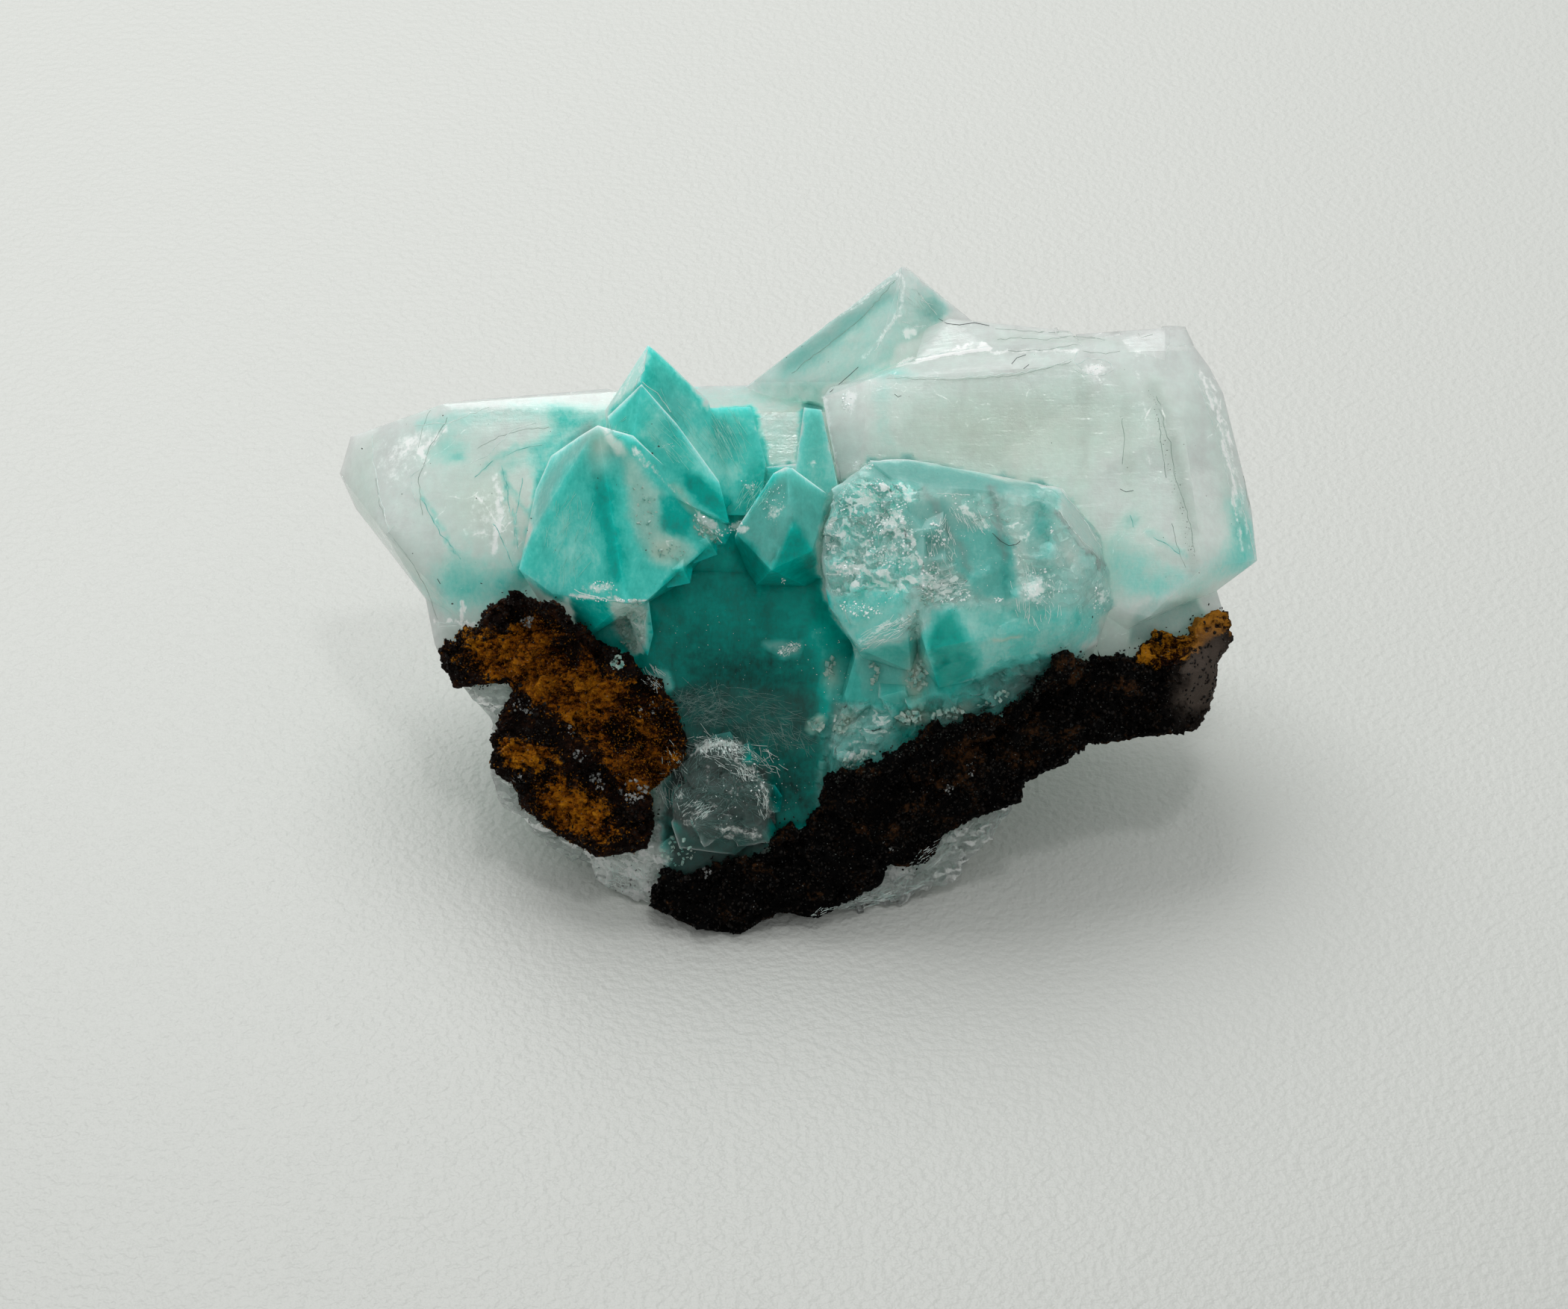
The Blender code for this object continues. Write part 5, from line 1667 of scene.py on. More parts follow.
LIMONITE = MatrixCrust(
    "limonite_crust",
    "limonite",
    CrustFinish("limonite", ((0.0, (0.002, 0.0015, 0.001)), (0.5, (0.008, 0.004, 0.003)), (0.7, (0.03, 0.010, 0.004)), (1.0, (0.12, 0.04, 0.008)))),
    seed=3,
    inset=0.2,
    crest=850,
    ochre=(
        (690, 880, 66, 30, 10),
        (762, 922, 90, 38, 28),
        (834, 962, 72, 44, 34),
        (862, 1020, 44, 40, 0),
        (706, 1010, 38, 21, 5),
        (773, 1086, 50, 27, 30),
        (718, 846, 34, 20, 0),
    ),
    umber=((850, 1000, 60, 62, 30), (770, 862, 60, 22, 40), (735, 975, 50, 20, 30), (800, 1020, 40, 30, 0)),
)
GOETHITE = MatrixCrust(
    "goethite_seam",
    "goethite",
    CrustFinish("goethite", ((0.0, (0.0004, 0.0004, 0.0004)), (0.55, (0.0012, 0.001, 0.001)), (0.64, (0.009, 0.0045, 0.002)), (0.8, (0.05, 0.02, 0.007))), ochre=(0.48, 0.19, 0.01)),
    voxel=0.13,
    rough=0.12,
    seed=11,
    ochre=((1556, 866, 42, 22, 10), (1628, 836, 24, 16, -20), (1595, 853, 26, 17, 0)),
    slate=((1618, 898, 26, 52, 12), (1600, 930, 20, 24, 30)),
    umber=((1490, 915, 56, 14, 8), (1270, 1035, 60, 30, -30), (1380, 1000, 60, 24, -20), (1200, 1090, 50, 24, -25), (1330, 965, 40, 14, -15)),
)


Oval = tuple[float, float, float, float, float]


def in_oval(oval: Oval, rng: np.random.Generator) -> Pixel:
    """Picks a random pixel in an oval.

    Args:
        oval: Its middle, half width, half height and turn.
        rng: The random numbers.

    Returns:
        The pixel.
    """
    x, y, width, height, turn = oval
    angle, reach, lean = rng.uniform(0, 2 * math.pi), math.sqrt(rng.uniform()), math.radians(turn)
    across, down = width * reach * math.cos(angle), height * reach * math.sin(angle)
    return (x + across * math.cos(lean) - down * math.sin(lean), y + across * math.sin(lean) + down * math.cos(lean))


class Surface:
    """What shows from the front, for laying fine matter on it."""

    def __init__(self, pieces: Sequence[bpy.types.Object]) -> None:
        """Reads the dressed pieces."""
        self.trees = []
        for piece in pieces:
            faces = [tuple(face.vertices) for face in piece.data.polygons]
            self.trees.append(BVHTree.FromPolygons(points_of(piece.data).tolist(), faces))

    def at(self, pixel: Pixel, lift: float) -> np.ndarray | None:
        """Finds the point seen at a pixel.

        Args:
            pixel: Position in the photographed frame.
            lift: Height above the surface, in millimetres.

        Returns:
            The point in millimetres, if anything is there.
        """
        eye, direction = Vector(FRONT.eye), Vector(FRONT.direction(pixel))
        hits = [tree.ray_cast(eye, direction) for tree in self.trees]
        hits = [hit for hit in hits if hit[0] is not None]
        if not hits:
            return None
        place, normal, _, _ = min(hits, key=lambda hit: hit[3])
        return np.array(place + normal * lift)

    def lay(self, path: Sequence[Pixel], lift: float) -> np.ndarray:
        """Lays a path on the surface and leaves out what misses it or jumps.

        Args:
            path: Its pixels.
            lift: Height above the surface, in millimetres.

        Returns:
            The points in millimetres, one per row.
        """
        found = [point for point in (self.at(pixel, lift) for pixel in path) if point is not None]
        if len(found) < 2:
            return np.zeros((0, 3))
        steps = np.linalg.norm(np.diff(found, axis=0), axis=1)
        return np.array(found) if steps.max() < 2.5 else np.zeros((0, 3))


@dataclass(frozen=True)
class Tuft:
    """Short fibres side by side.

    Attributes:
        place: The oval they start in, in pixels.
        lie: Their direction in the frame, clockwise from the right, in degrees.
        fan: How far they stray from it, in degrees.
        length: Greatest length, in pixels.
        count: How many there are.
    """

    place: Oval
    lie: float
    fan: float
    length: float
    count: int

    def paths(self, rng: np.random.Generator) -> list[list[Pixel]]:
        """Draws the fibres.

        Args:
            rng: The random numbers.

        Returns:
            Three pixels for each fibre.
        """
        made = []
        for _ in range(self.count):
            x, y = in_oval(self.place, rng)
            angle = math.radians(rng.normal(self.lie, self.fan))
            length, bow = self.length * rng.uniform(0.25, 1), rng.normal(0, 0.05)
            along, side = (math.cos(angle), math.sin(angle)), (-math.sin(angle), math.cos(angle))
            made.append([(x + length * (t * along[0] + b * side[0]), y + length * (t * along[1] + b * side[1])) for t, b in ((-0.5, 0), (0, bow), (0.5, 0))])
        return made


@dataclass(frozen=True)
class Litter:
    """Tiny fragments close together.

    Attributes:
        place: The oval they lie in, in pixels.
        count: How many there are.
        small: Smallest size in millimetres.
        large: Largest size in millimetres.
    """

    place: Oval
    count: int
    small: float = 0.05
    large: float = 0.2


PALE_CRACKS_AND_LEDGE_HIGHLIGHT = (
    ((499, 578), (501, 624), (509, 662), (521, 712), (528, 705)),
    ((598, 571), (574, 605), (569, 624), (550, 638), (557, 672)),
    ((622, 624), (655, 609), (684, 576), (718, 566)),
    ((584, 836), (602, 834), (619, 834), (641, 836)),
    ((586, 840), (612, 838)),
    ((618, 804), (620, 822), (619, 842)),
    ((670, 672), (677, 691), (672, 698)),
    ((668, 660), (670, 680)),
    ((555, 570), (600, 566), (655, 545)),
    # The next three lines are a painted highlight along the block's top ledge.
    ((1203, 489), (1228, 480), (1262, 473), (1290, 469), (1325, 464)),
    ((1206, 487), (1240, 477), (1270, 472)),
    ((1230, 479), (1262, 472), (1300, 467)),
    ((1189, 503), (1230, 505), (1274, 506), (1320, 504), (1362, 500), (1400, 493), (1435, 481)),
    ((1101, 536), (1101, 580), (1110, 620), (1120, 653)),
    ((1612, 521), (1634, 572), (1652, 639), (1674, 712), (1682, 756)),
    ((1600, 500), (1622, 560), (1640, 620), (1655, 690)),
    ((1009, 503), (1060, 466), (1120, 425), (1200, 374)),
    ((1208, 359), (1204, 390), (1200, 425), (1171, 470)),
    ((1230, 392), (1242, 406), (1255, 422)),
    ((1208, 430), (1225, 438), (1240, 436)),
    ((1255, 661), (1275, 662), (1299, 663)),
    ((1417, 682), (1432, 704), (1450, 724), (1473, 748)),
    ((1421, 656), (1450, 691), (1475, 734)),
    ((1105, 668), (1100, 715), (1105, 771), (1119, 832), (1142, 865), (1173, 879)),
    ((1163, 619), (1210, 615), (1262, 630), (1332, 642), (1419, 656)),
    ((770, 790), (790, 798), (815, 804), (860, 808)),
    ((799, 570), (770, 612), (742, 655), (720, 700), (703, 745)),
    ((931, 691), (950, 708), (967, 727)),
    ((860, 512), (880, 526), (898, 552)),
    ((868, 462), (862, 495), (846, 524)),
    ((1444, 471), (1437, 484), (1450, 495)),
    ((1440, 496), (1452, 502), (1478, 503), (1492, 494), (1482, 482), (1456, 480), (1440, 488)),
)
DARK_LINES = (
    ((1329, 714), (1340, 725), (1351, 731), (1361, 729), (1366, 725)),
    ((1257, 427), (1268, 434), (1285, 436), (1305, 433), (1325, 437)),
    ((1112, 526), (1130, 510), (1150, 492)),
    ((1355, 488), (1362, 480), (1374, 476)),
    ((1371, 494), (1378, 489)),
    ((1198, 528), (1203, 532), (1207, 530)),
    ((1500, 655), (1508, 659), (1518, 657)),
    ((586, 775), (590, 782)),
)
GREY_LINES = (
    ((1333, 440), (1391, 444), (1432, 445)),
    ((1351, 470), (1406, 468), (1443, 462)),
    ((1420, 452), (1450, 450), (1480, 456)),
    ((1189, 506), (1274, 509), (1362, 503), (1435, 484)),
    ((1550, 530), (1560, 572), (1568, 600), (1574, 639)),
    ((1574, 639), (1584, 668), (1593, 697), (1600, 740)),
    ((1417, 684), (1449, 726), (1474, 751)),
    ((1655, 560), (1664, 620), (1672, 680)),
    ((503, 640), (508, 672), (520, 706)),
    ((592, 522), (570, 560), (560, 600)),
    ((674, 1008), (662, 1024), (660, 1046), (668, 1080), (698, 1102)),
    ((698, 1102), (712, 1118), (748, 1122)),
    ((692, 1060), (700, 1084), (722, 1100)),
    ((1504, 560), (1506, 590), (1503, 622)),
    ((1552, 560), (1556, 600), (1562, 640)),
    ((1570, 700), (1576, 730), (1588, 760)),
    ((1335, 455), (1365, 452), (1395, 455), (1430, 450)),
    ((1450, 470), (1480, 474), (1500, 470)),
    ((1520, 440), (1528, 452), (1544, 448)),
    ((510, 566), (560, 548), (610, 530), (700, 521), (810, 513)),
    ((600, 560), (575, 600), (560, 640), (566, 690)),
    ((640, 600), (668, 585), (700, 575), (735, 572)),
    ((520, 712), (548, 748), (572, 790), (586, 830)),
    ((1200, 375), (1160, 420), (1110, 462), (1060, 500)),
    ((1300, 700), (1330, 690), (1352, 700)),
    ((1110, 700), (1140, 690), (1160, 705), (1180, 700)),
)
TEAL_LINES = (
    ((672, 624), (679, 648), (682, 686)),
    ((679, 643), (698, 672), (713, 696)),
    ((689, 720), (687, 681)),
    ((564, 667), (588, 710), (617, 749)),
    ((727, 595), (699, 600), (679, 609)),
    ((636, 638), (660, 617)),
    ((700, 640), (690, 700), (694, 735)),
    ((660, 700), (676, 730), (688, 760)),
    ((1545, 720), (1562, 728), (1580, 742)),
    ((1514, 690), (1518, 706)),
)
PALE_FIBRES = (
    Tuft((965, 1001, 32, 9, 0), 82, 14, 13, 60),
    Tuft((1000, 1034, 12, 10, 0), 60, 12, 16, 30),
    Tuft((1022, 1075, 8, 22, 0), 75, 14, 16, 26),
    Tuft((930, 1086, 22, 14, 0), -40, 20, 16, 40),
    Tuft((835, 1172, 38, 26, 20), 30, 30, 16, 60),
    Tuft((985, 1010, 70, 24, 20), 25, 24, 30, 90),
    Tuft((900, 1040, 18, 44, 0), 60, 24, 26, 50),
    Tuft((1335, 1105, 26, 16, -50), -60, 16, 22, 50),
    Tuft((1150, 1210, 70, 7, -14), -20, 14, 26, 50),
    Tuft((1298, 694, 30, 13, 25), 60, 8, 16, 40),
    Tuft((1180, 850, 36, 14, -25), -25, 10, 26, 60),
    Tuft((1262, 735, 20, 44, 0), 85, 16, 18, 50),
    Tuft((1262, 785, 34, 18, 0), -10, 18, 22, 50),
    Tuft((1390, 800, 40, 40, 0), 80, 14, 20, 50),
    Tuft((1150, 720, 44, 60, 0), 70, 30, 14, 90),
    Tuft((1242, 1150, 60, 12, -40), -40, 10, 24, 60),
    Tuft((1190, 1195, 60, 10, -20), -25, 10, 30, 50),
    Tuft((648, 1035, 10, 34, 10), 30, 12, 26, 24),
    Tuft((690, 1110, 40, 14, 40), 50, 12, 24, 24),
    Tuft((1057, 869, 17, 7, -15), -20, 40, 10, 40),
    Tuft((876, 908, 14, 14, 0), 60, 20, 20, 30),
    Tuft((1230, 400, 12, 20, 0), 40, 14, 30, 10),
)
CROWN_THREADS = (
    Tuft((975, 588, 24, 36, 0), 62, 6, 46, 60),
    Tuft((905, 575, 36, 46, -20), 50, 8, 40, 40),
    Tuft((1010, 665, 22, 18, 0), -60, 10, 30, 30),
    Tuft((820, 570, 20, 20, 0), -30, 20, 24, 16),
    Tuft((765, 720, 34, 60, 10), 100, 14, 30, 40),
)
NEEDLES = (
    Tuft((1012, 1060, 14, 34, 0), 20, 30, 26, 60),
    Tuft((945, 1065, 40, 30, 0), -35, 30, 34, 90),
    Tuft((975, 1112, 48, 14, 10), 12, 20, 30, 60),
    Tuft((985, 1050, 30, 30, 0), 50, 30, 30, 60),
    Tuft((930, 1012, 18, 24, 0), 120, 20, 24, 40),
    Tuft((985, 950, 84, 30, 8), 20, 22, 44, 120),
    Tuft((1040, 985, 50, 22, 10), 40, 26, 36, 70),
    Tuft((935, 945, 34, 24, 0), -30, 24, 34, 70),
)
# White chips where the frosted crystals sparkle; their near-white colour is partly a painted glint.
SPARKS = (
    Litter((1168, 673, 48, 34, 0), 240, 0.03, 0.14),
    Litter((1191, 724, 34, 40, 0), 240, 0.03, 0.16),
    Litter((1135, 762, 16, 12, 0), 70, 0.04, 0.16),
    Litter((1112, 720, 10, 20, 0), 50, 0.04, 0.14),
    Litter((1154, 816, 30, 10, 10), 60, 0.04, 0.15),
    Litter((1165, 725, 62, 90, 0), 300, 0.02, 0.08),
    Litter((1300, 740, 90, 80, 0), 120, 0.02, 0.07),
    Litter((1440, 790, 40, 60, 0), 60, 0.02, 0.08),
    Litter((1252, 716, 20, 16, 30), 40, 0.05, 0.2),
    Litter((1243, 770, 14, 30, 0), 40, 0.05, 0.2),
    Litter((1270, 795, 30, 14, 0), 50, 0.05, 0.18),
    Litter((1300, 680, 40, 14, 20), 30, 0.04, 0.12),
    Litter((1395, 785, 26, 26, 0), 45, 0.05, 0.16),
    Litter((1410, 707, 4, 9, 0), 6, 0.08, 0.16),
    Litter((1337, 804, 7, 5, 0), 10, 0.06, 0.16),
    Litter((1473, 799, 12, 22, 0), 26, 0.05, 0.16),
    Litter((1048, 778, 6, 4, 0), 12, 0.05, 0.14),
    Litter((1057, 869, 16, 6, -15), 26, 0.05, 0.16),
    Litter((982, 706, 14, 6, -30), 22, 0.05, 0.16),
    Litter((950, 703, 26, 7, 38), 34, 0.05, 0.18),
    Litter((1036, 672, 14, 26, 20), 40, 0.03, 0.1),
    Litter((1003, 650, 12, 10, 0), 16, 0.03, 0.1),
    Litter((895, 596, 10, 6, 0), 8, 0.03, 0.08),
    Litter((1134, 539, 8, 14, 0), 22, 0.06, 0.2),
    Litter((1156, 622, 14, 10, 0), 22, 0.06, 0.2),
    Litter((1466, 492, 18, 9, 0), 16, 0.06, 0.18),
    Litter((812, 785, 22, 7, 6), 22, 0.05, 0.16),
    Litter((815, 803, 48, 3, 3), 24, 0.04, 0.14),
    Litter((960, 1000, 30, 8, 0), 40, 0.05, 0.18),
    Litter((1014, 1045, 10, 26, 0), 26, 0.05, 0.16),
    Litter((965, 1060, 44, 44, 0), 40, 0.03, 0.1),
    Litter((1050, 1040, 40, 50, 0), 46, 0.02, 0.07),
    Litter((960, 880, 110, 70, 0), 60, 0.015, 0.05),
    Litter((1100, 900, 40, 60, 0), 34, 0.02, 0.07),
)
SHARDS = (
    Litter((846, 836, 18, 34, 0), 90, 0.08, 0.34),
    Litter((826, 888, 10, 9, 0), 26, 0.1, 0.34),
    Litter((864, 684, 16, 40, -12), 30, 0.06, 0.24),
    Litter((893, 738, 26, 12, 10), 34, 0.06, 0.24),
    Litter((944, 712, 22, 8, 40), 40, 0.08, 0.28),
    Litter((1093, 970, 9, 8, 0), 22, 0.15, 0.5),
    Litter((1128, 970, 9, 14, 20), 22, 0.15, 0.5),
    Litter((1112, 895, 6, 14, 10), 16, 0.12, 0.4),
    Litter((1170, 905, 6, 20, 5), 16, 0.12, 0.4),
    Litter((1236, 905, 7, 24, 0), 26, 0.15, 0.45),
    Litter((1222, 912, 7, 16, 0), 14, 0.15, 0.4),
    Litter((1218, 962, 17, 9, 0), 26, 0.15, 0.5),
    Litter((1270, 956, 20, 7, -10), 20, 0.15, 0.5),
    Litter((1150, 1016, 24, 8, -20), 22, 0.12, 0.4),
    Litter((1330, 935, 26, 6, -20), 14, 0.1, 0.36),
    Litter((1240, 800, 10, 18, 0), 24, 0.08, 0.26),
    Litter((1222, 835, 7, 22, 10), 22, 0.08, 0.26),
    Litter((908, 1140, 24, 20, 0), 40, 0.08, 0.3),
    )
STONES = (
    Litter((706, 832, 8, 6, 0), 18, 0.12, 0.34),
    Litter((700, 945, 22, 10, 20), 40, 0.05, 0.2),
    Litter((800, 1046, 9, 14, -30), 24, 0.1, 0.3),
    Litter((776, 1010, 9, 8, 0), 18, 0.08, 0.24),
    Litter((765, 978, 5, 8, 0), 8, 0.08, 0.24),
    Litter((850, 1060, 20, 16, 0), 40, 0.1, 0.34),
    Litter((868, 950, 16, 14, 0), 12, 0.06, 0.2),
    Litter((692, 1046, 12, 8, 0), 12, 0.08, 0.22),
    Litter((1272, 1057, 8, 6, 0), 14, 0.06, 0.2),
    Litter((1194, 1137, 4, 3, 0), 6, 0.06, 0.16),
    Litter((1300, 1028, 6, 10, 0), 12, 0.06, 0.2),
    Litter((945, 1170, 7, 8, 0), 12, 0.08, 0.24),
    Litter((835, 1172, 36, 26, 10), 22, 0.06, 0.2),
    Litter((1100, 1160, 120, 30, -25), 30, 0.03, 0.08),
    Litter((1300, 1020, 120, 40, -30), 34, 0.03, 0.08),
    Litter((760, 940, 120, 70, 30), 60, 0.02, 0.07),
    Litter((730, 1090, 60, 40, 30), 20, 0.02, 0.07),
)


@dataclass
class LooseMatter:
    """Grains, chips, fibres and needles that lie on the three pieces.

    Attributes:
        spill: Reach of the spilled grains around the crusts, in millimetres.
    """

    spill: float = 0.2

    def build(self, calcite: bpy.types.Object, crusts: dict[str, bpy.types.Object], cluster: CalciteCluster) -> None:
        """Builds all loose matter and hands it to the frame.

        Args:
            calcite: The dressed calcite.
            crusts: The dressed crusts by slot.
            cluster: The calcite's builder.
        """
        black = SpeckFinish("black_grain", (0.0006, 0.0005, 0.0005), (0.009, 0.005, 0.003), 0.4).build()
        rust = SpeckFinish("rust_bristle", (0.02, 0.005, 0.0005), (0.30, 0.11, 0.005), 0.8, 0.1).build()
        rims = np.concatenate([points_of(crust.data)[::4] for crust in crusts.values()])
        gap = distance_to(cluster.points, rims)
        store(calcite.data, "spill", np.exp(-((gap / self.spill) ** 2)))
        pieces = (
            (Scatter("spilled_grains", 22.0, "spill", (0.05,) * 3, (0.19,) * 3, 60, 7), calcite, pebble(2), black, "goethite"),
            (Scatter("limonite_grains", 12.0, "rim", (0.06,) * 3, (0.26,) * 3, 60, 8), crusts["limonite"], pebble(3), black, "limonite"),
            (Scatter("limonite_velvet", 26.0, "ochre", (0.03, 0.03, 0.04), (0.08, 0.08, 0.16), 60, 9), crusts["limonite"], bristle(), rust, "limonite"),
            (Scatter("goethite_grains", 8.0, "rim", (0.06,) * 3, (0.26,) * 3, 60, 10), crusts["goethite"], pebble(4), black, "goethite"),
        )
        for scatter, ground, shape, material, slot in pieces:
            made = scatter.build(ground, shape, material)
            keep_inside(made.data)
            ride(made)
        surface = Surface([calcite, *crusts.values()])
        self.lines(surface)
        self.fragments(surface)

    def lines(self, surface: Surface) -> None:
        """Draws the fibres, the healed cracks, the painted highlight on the block's ledge and the wisps.

        Args:
            surface: What they lie on.
        """
        dark = SpeckFinish("lint", (0.02, 0.03, 0.03), (0.06, 0.08, 0.08), 0.6).build()
        pale = SpeckFinish("pale_fibre", (0.55, 0.72, 0.68), (0.9, 0.95, 0.92), 0.25, 0.5).build()
        teal = SpeckFinish("teal_wisp", (0.12, 0.46, 0.42), (0.4, 0.74, 0.68), 0.4).build()
        thin = SpeckFinish("needle", (0.06, 0.16, 0.14), (0.26, 0.4, 0.37), 0.4).build()
        grey = SpeckFinish("crack", (0.16, 0.24, 0.20), (0.40, 0.50, 0.45), 0.5).build()
        threads = SpeckFinish("crown_thread", (0.16, 0.62, 0.55), (0.40, 0.80, 0.72), 0.4).build()
        rng = np.random.default_rng(17)
        groups = (
            ("lint", 0.02, dark, DARK_LINES, (), 0.04),
            ("pale_cracks", 0.022, pale, [self.broken(path, rng) for path in PALE_CRACKS_AND_LEDGE_HIGHLIGHT], (), 0.0),
            ("grey_cracks", 0.015, grey, [self.broken(path, rng) for path in GREY_LINES], (), 0.0),
            ("teal_wisps", 0.03, teal, [self.broken(path, rng) for path in TEAL_LINES], (), -0.01),
            ("crown_threads", 0.012, threads, (), CROWN_THREADS, 0.01),
            ("pale_fibres", 0.012, pale, (), PALE_FIBRES, 0.03),
            ("needles", 0.007, thin, (), NEEDLES, 0.02),
        )
        for name, radius, finish, paths, tufts, lift in groups:
            paths = list(paths) + [path for tuft in tufts for path in tuft.paths(rng)]
            laid = [line for line in (surface.lay(path, lift) for path in paths) if len(line)]
            made = Sweep(name, radius, 4).build(laid, finish)
            keep_inside(made.data)
            ride(made)

    def broken(self, path: Sequence[Pixel], rng: np.random.Generator) -> list[Pixel]:
        """Makes a clean path uneven.

        Args:
            path: Its pixels.
            rng: The random numbers.

        Returns:
            More and slightly shifted pixels.
        """
        points = np.array(path, float)
        made = []
        for start, end in zip(points[:-1], points[1:]):
            number = max(int(np.linalg.norm(end - start) / 6), 1)
            made += [start + (end - start) * n / number + rng.normal(0, 0.7, 2) for n in range(number)]
        return [tuple(point) for point in (*made, points[-1])]

    def fragments(self, surface: Surface) -> None:
        """Strews the sparks, the shards, the stones and the dust.

        Args:
            surface: What they lie on.
        """
        # The chips' near-white colour is partly a painted glint, over their real mirror-like reflections.
        spark = SpeckFinish("spark", (0.82, 0.94, 0.91), (1.0, 1.0, 1.0), 0.06, 1.0).build()
        shard = SpeckFinish("shard", (0.12, 0.36, 0.31), (0.46, 0.56, 0.50), 0.3, 0.4).build()
        stone = SpeckFinish("stone", (0.06, 0.06, 0.06), (0.34, 0.35, 0.34), 0.4, 0.4).build()
        dark = SpeckFinish("dust", (0.02, 0.025, 0.02), (0.07, 0.08, 0.07), 0.7).build()
        rng = np.random.default_rng(23)
        line = np.array([(1542, 520), (1560, 600), (1586, 691), (1602, 760)], float)
        dust = [Litter((x, y, 1, 1, 0), 1, 0.08, 0.14) for x, y in ((593, 556), (485, 601), (638, 668), (712, 695), (644, 781), (606, 809))]
        dust += [Litter((x, y, 1, 1, 0), 1, 0.08, 0.14) for x, y in ((800, 654), (745, 737), (865, 737), (882, 598), (874, 607), (1463, 826))]
        dust += [Litter((x, y, 34, 10, -22), 34, 0.04, 0.16) for x, y in ((1150, 1035), (1215, 1000), (1280, 975), (1340, 945), (1390, 925), (1440, 898))]
        dust += [Litter((1070, 640, 620, 230, 0), 80, 0.03, 0.08)]
        dust += [Litter((*(line[n] + line[n + 1]) / 2, 7, 46, -14), 30, 0.02, 0.07) for n in range(3)]
        for name, finish, litters, slot in (
            ("sparks", spark, SPARKS, "calcite"),
            ("shards", shard, SHARDS, "calcite"),
            ("stones", stone, STONES, "limonite"),
            ("dust", dark, dust, "calcite"),
        ):
            made = linked(name, self.strewn(name, surface, litters, rng), finish)
            keep_inside(made.data)
            ride(made)

    def strewn(self, name: str, surface: Surface, litters: Sequence[Litter], rng: np.random.Generator) -> bpy.types.Mesh:
        """Lays fragments on the surface.

        Args:
            name: Name of the mesh.
            surface: What they lie on.
            litters: Where they lie.
            rng: The random numbers.

        Returns:
            One mesh with all fragments.
        """
        shapes = [cleavage_chip(), pebble(12)]
        forms = []
        for shape in shapes:
            flat = np.empty(len(shape.vertices) * 3, np.float32)
            shape.vertices.foreach_get("co", flat)
            faces = [tuple(face.vertices) for face in shape.polygons]
            forms.append((flat.reshape(-1, 3) * [1.0, 0.75, 0.4], faces))
        points, faces, start = [], [], 0
        for litter in litters:
            for _ in range(litter.count):
                place = surface.at(in_oval(litter.place, rng), 0.0)
                if place is None:
                    continue
                form, sides = forms[int(rng.uniform() < 0.3)]
                turn = np.array(Quaternion(rng.normal(size=4)).normalized().to_matrix())
                points.append(form @ turn.T * rng.uniform(litter.small, litter.large) + place)
                faces += [tuple(start + index for index in side) for side in sides]
                start += len(form)
        mesh = bpy.data.meshes.new(name)
        mesh.from_pydata((np.concatenate(points) * MM).tolist(), [], faces)
        return mesh


def keep_inside(mesh: bpy.types.Mesh) -> None:
    """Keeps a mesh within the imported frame's box."""
    points = np.clip(points_of(mesh), BOX[0], BOX[1])
    mesh.vertices.foreach_set("co", (points * MM).astype(np.float32).ravel())
    mesh.update()


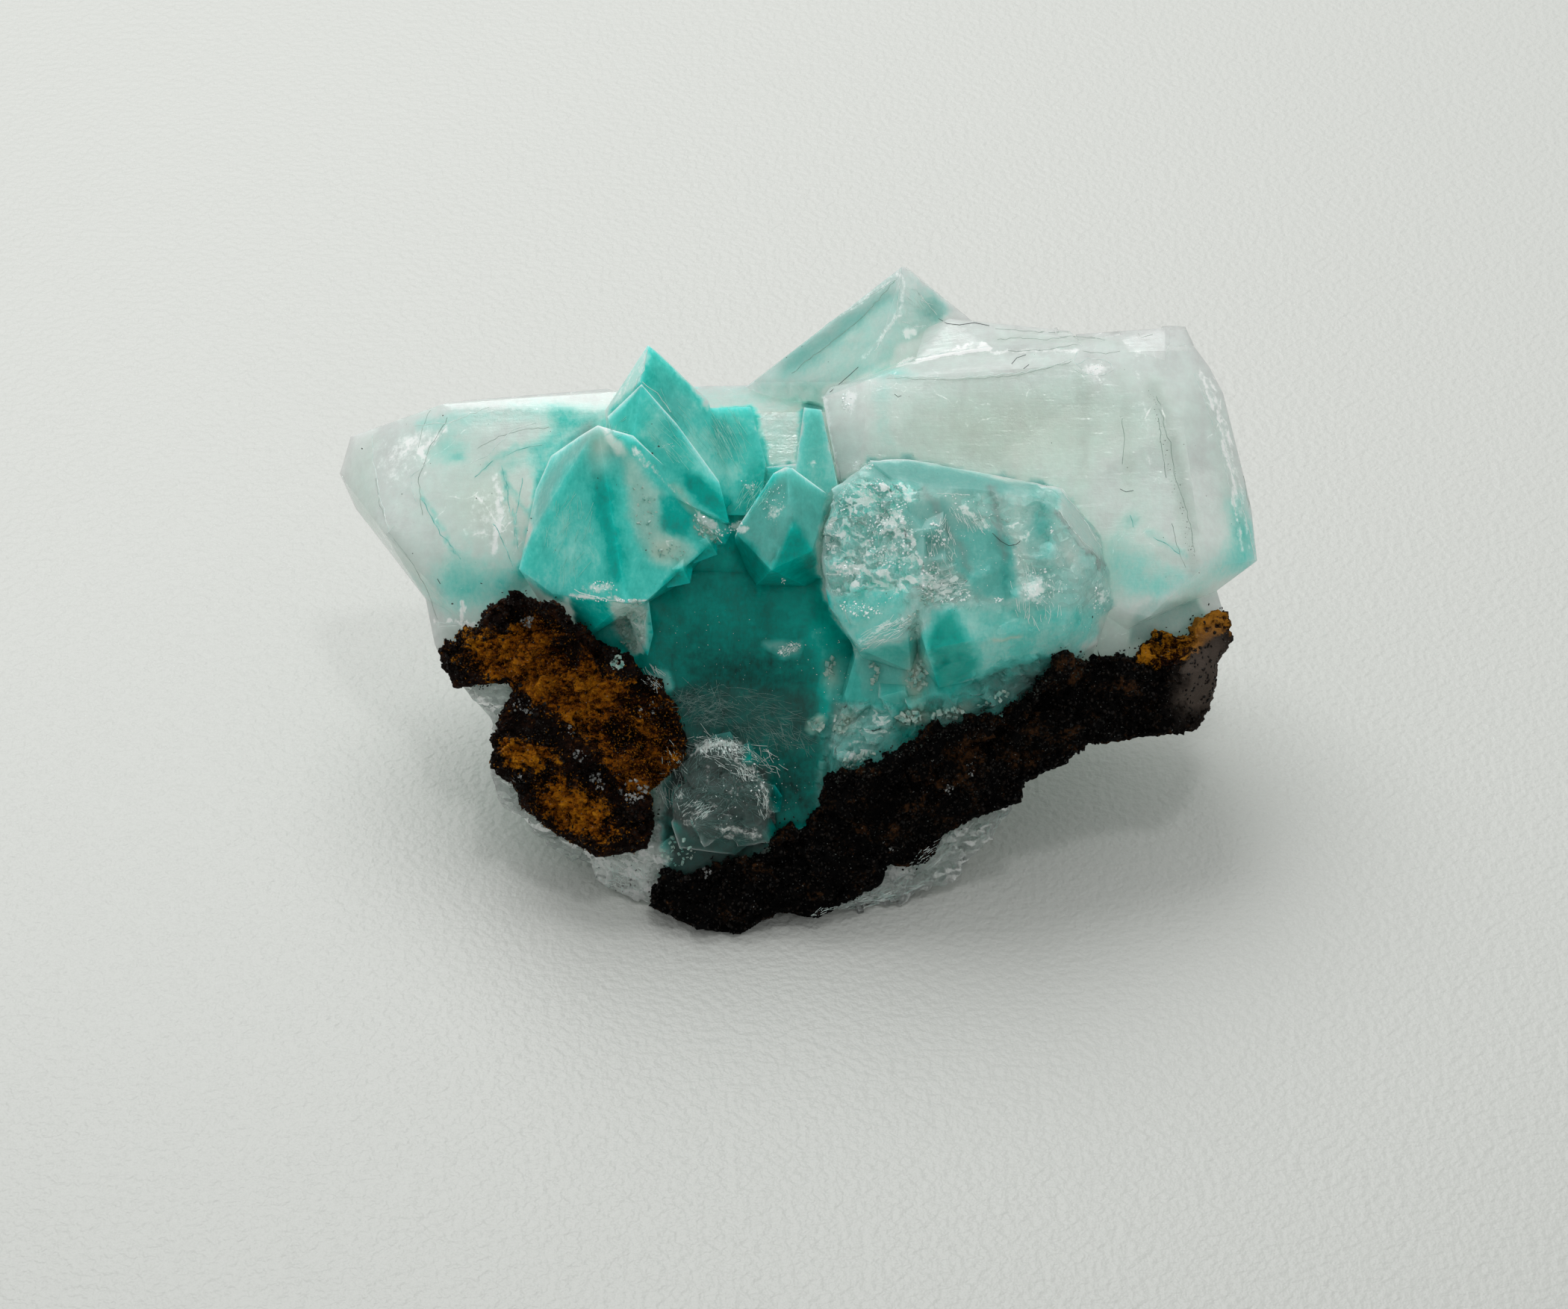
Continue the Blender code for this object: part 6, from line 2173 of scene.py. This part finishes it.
@dataclass
class Studio:
    """The floor, the soft light and the camera.

    Attributes:
        floor: Half the floor's width, in metres.
        sky: Brightness of the surroundings.
    """

    floor: float = 1.5
    sky: float = 0.58

    def build(self) -> None:
        """Builds the studio."""
        s = self.floor / MM
        square = np.array([(-s, -s, 0.0), (s, -s, 0.0), (s, s, 0.0), (-s, s, 0.0)])
        floor = linked("floor", mesh_of("floor", square, np.array([(0, 1, 2, 3)])), FloorFinish().build())
        world = bpy.data.worlds.new("studio")
        bpy.context.scene.world = world
        world.use_nodes = True
        background = world.node_tree.nodes["Background"].inputs
        background[0].default_value = (0.97, 1.0, 0.98, 1.0)
        background[1].default_value = self.sky
        self.lamp("softbox", (-0.06, 0.17, 0.26), 0.24, 0.52)
        self.lamp("spark", (0.05, -0.08, 0.4), 0.05, 0.14)
        self.camera()
        bpy.context.scene.view_settings.view_transform = "Standard"

    def lamp(self, name: str, place: tuple[float, float, float], size: float, power: float) -> None:
        """Adds a round area light that faces the piece.

        Args:
            name: Its name.
            place: Its place in metres.
            size: Its width in metres.
            power: Its power in watts.
        """
        light = bpy.data.lights.new(name, "AREA")
        light.shape = "DISK"
        light.size = size
        light.energy = power
        lamp = bpy.data.objects.new(name, light)
        lamp.location = Vector(place)
        lamp.rotation_mode = "QUATERNION"
        lamp.rotation_quaternion = (Vector((0, 0, 0.01)) - lamp.location).to_track_quat("-Z", "Y")
        bpy.context.scene.collection.objects.link(lamp)

    def camera(self) -> None:
        """Adds the camera."""
        data = bpy.data.cameras.new("camera")
        data.sensor_width = 36.0
        data.lens = data.sensor_width * FRONT.distance / FRONT.width
        data.clip_start = 0.01
        data.clip_end = 10.0
        camera = bpy.data.objects.new("camera", data)
        camera.location = Vector(FRONT.eye * MM)
        camera.rotation_mode = "QUATERNION"
        camera.rotation_quaternion = Vector(FRONT.sight).to_track_quat("-Z", "Y")
        bpy.context.scene.collection.objects.link(camera)
        bpy.context.scene.camera = camera


def main() -> None:
    """Builds the pieces in order."""
    logging.basicConfig(level=logging.INFO, format="%(message)s")
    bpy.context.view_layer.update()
    cluster = CalciteCluster()
    calcite = cluster.build()
    crusts = {}
    for crust in (LIMONITE, GOETHITE):
        crusts[crust.slot] = crust.build()
        ride(crusts[crust.slot], crust.node)
    LooseMatter().build(calcite, crusts, cluster)
    ride(calcite, "calcite_cluster")
    Studio().build()


if __name__ == "__main__":
    main()
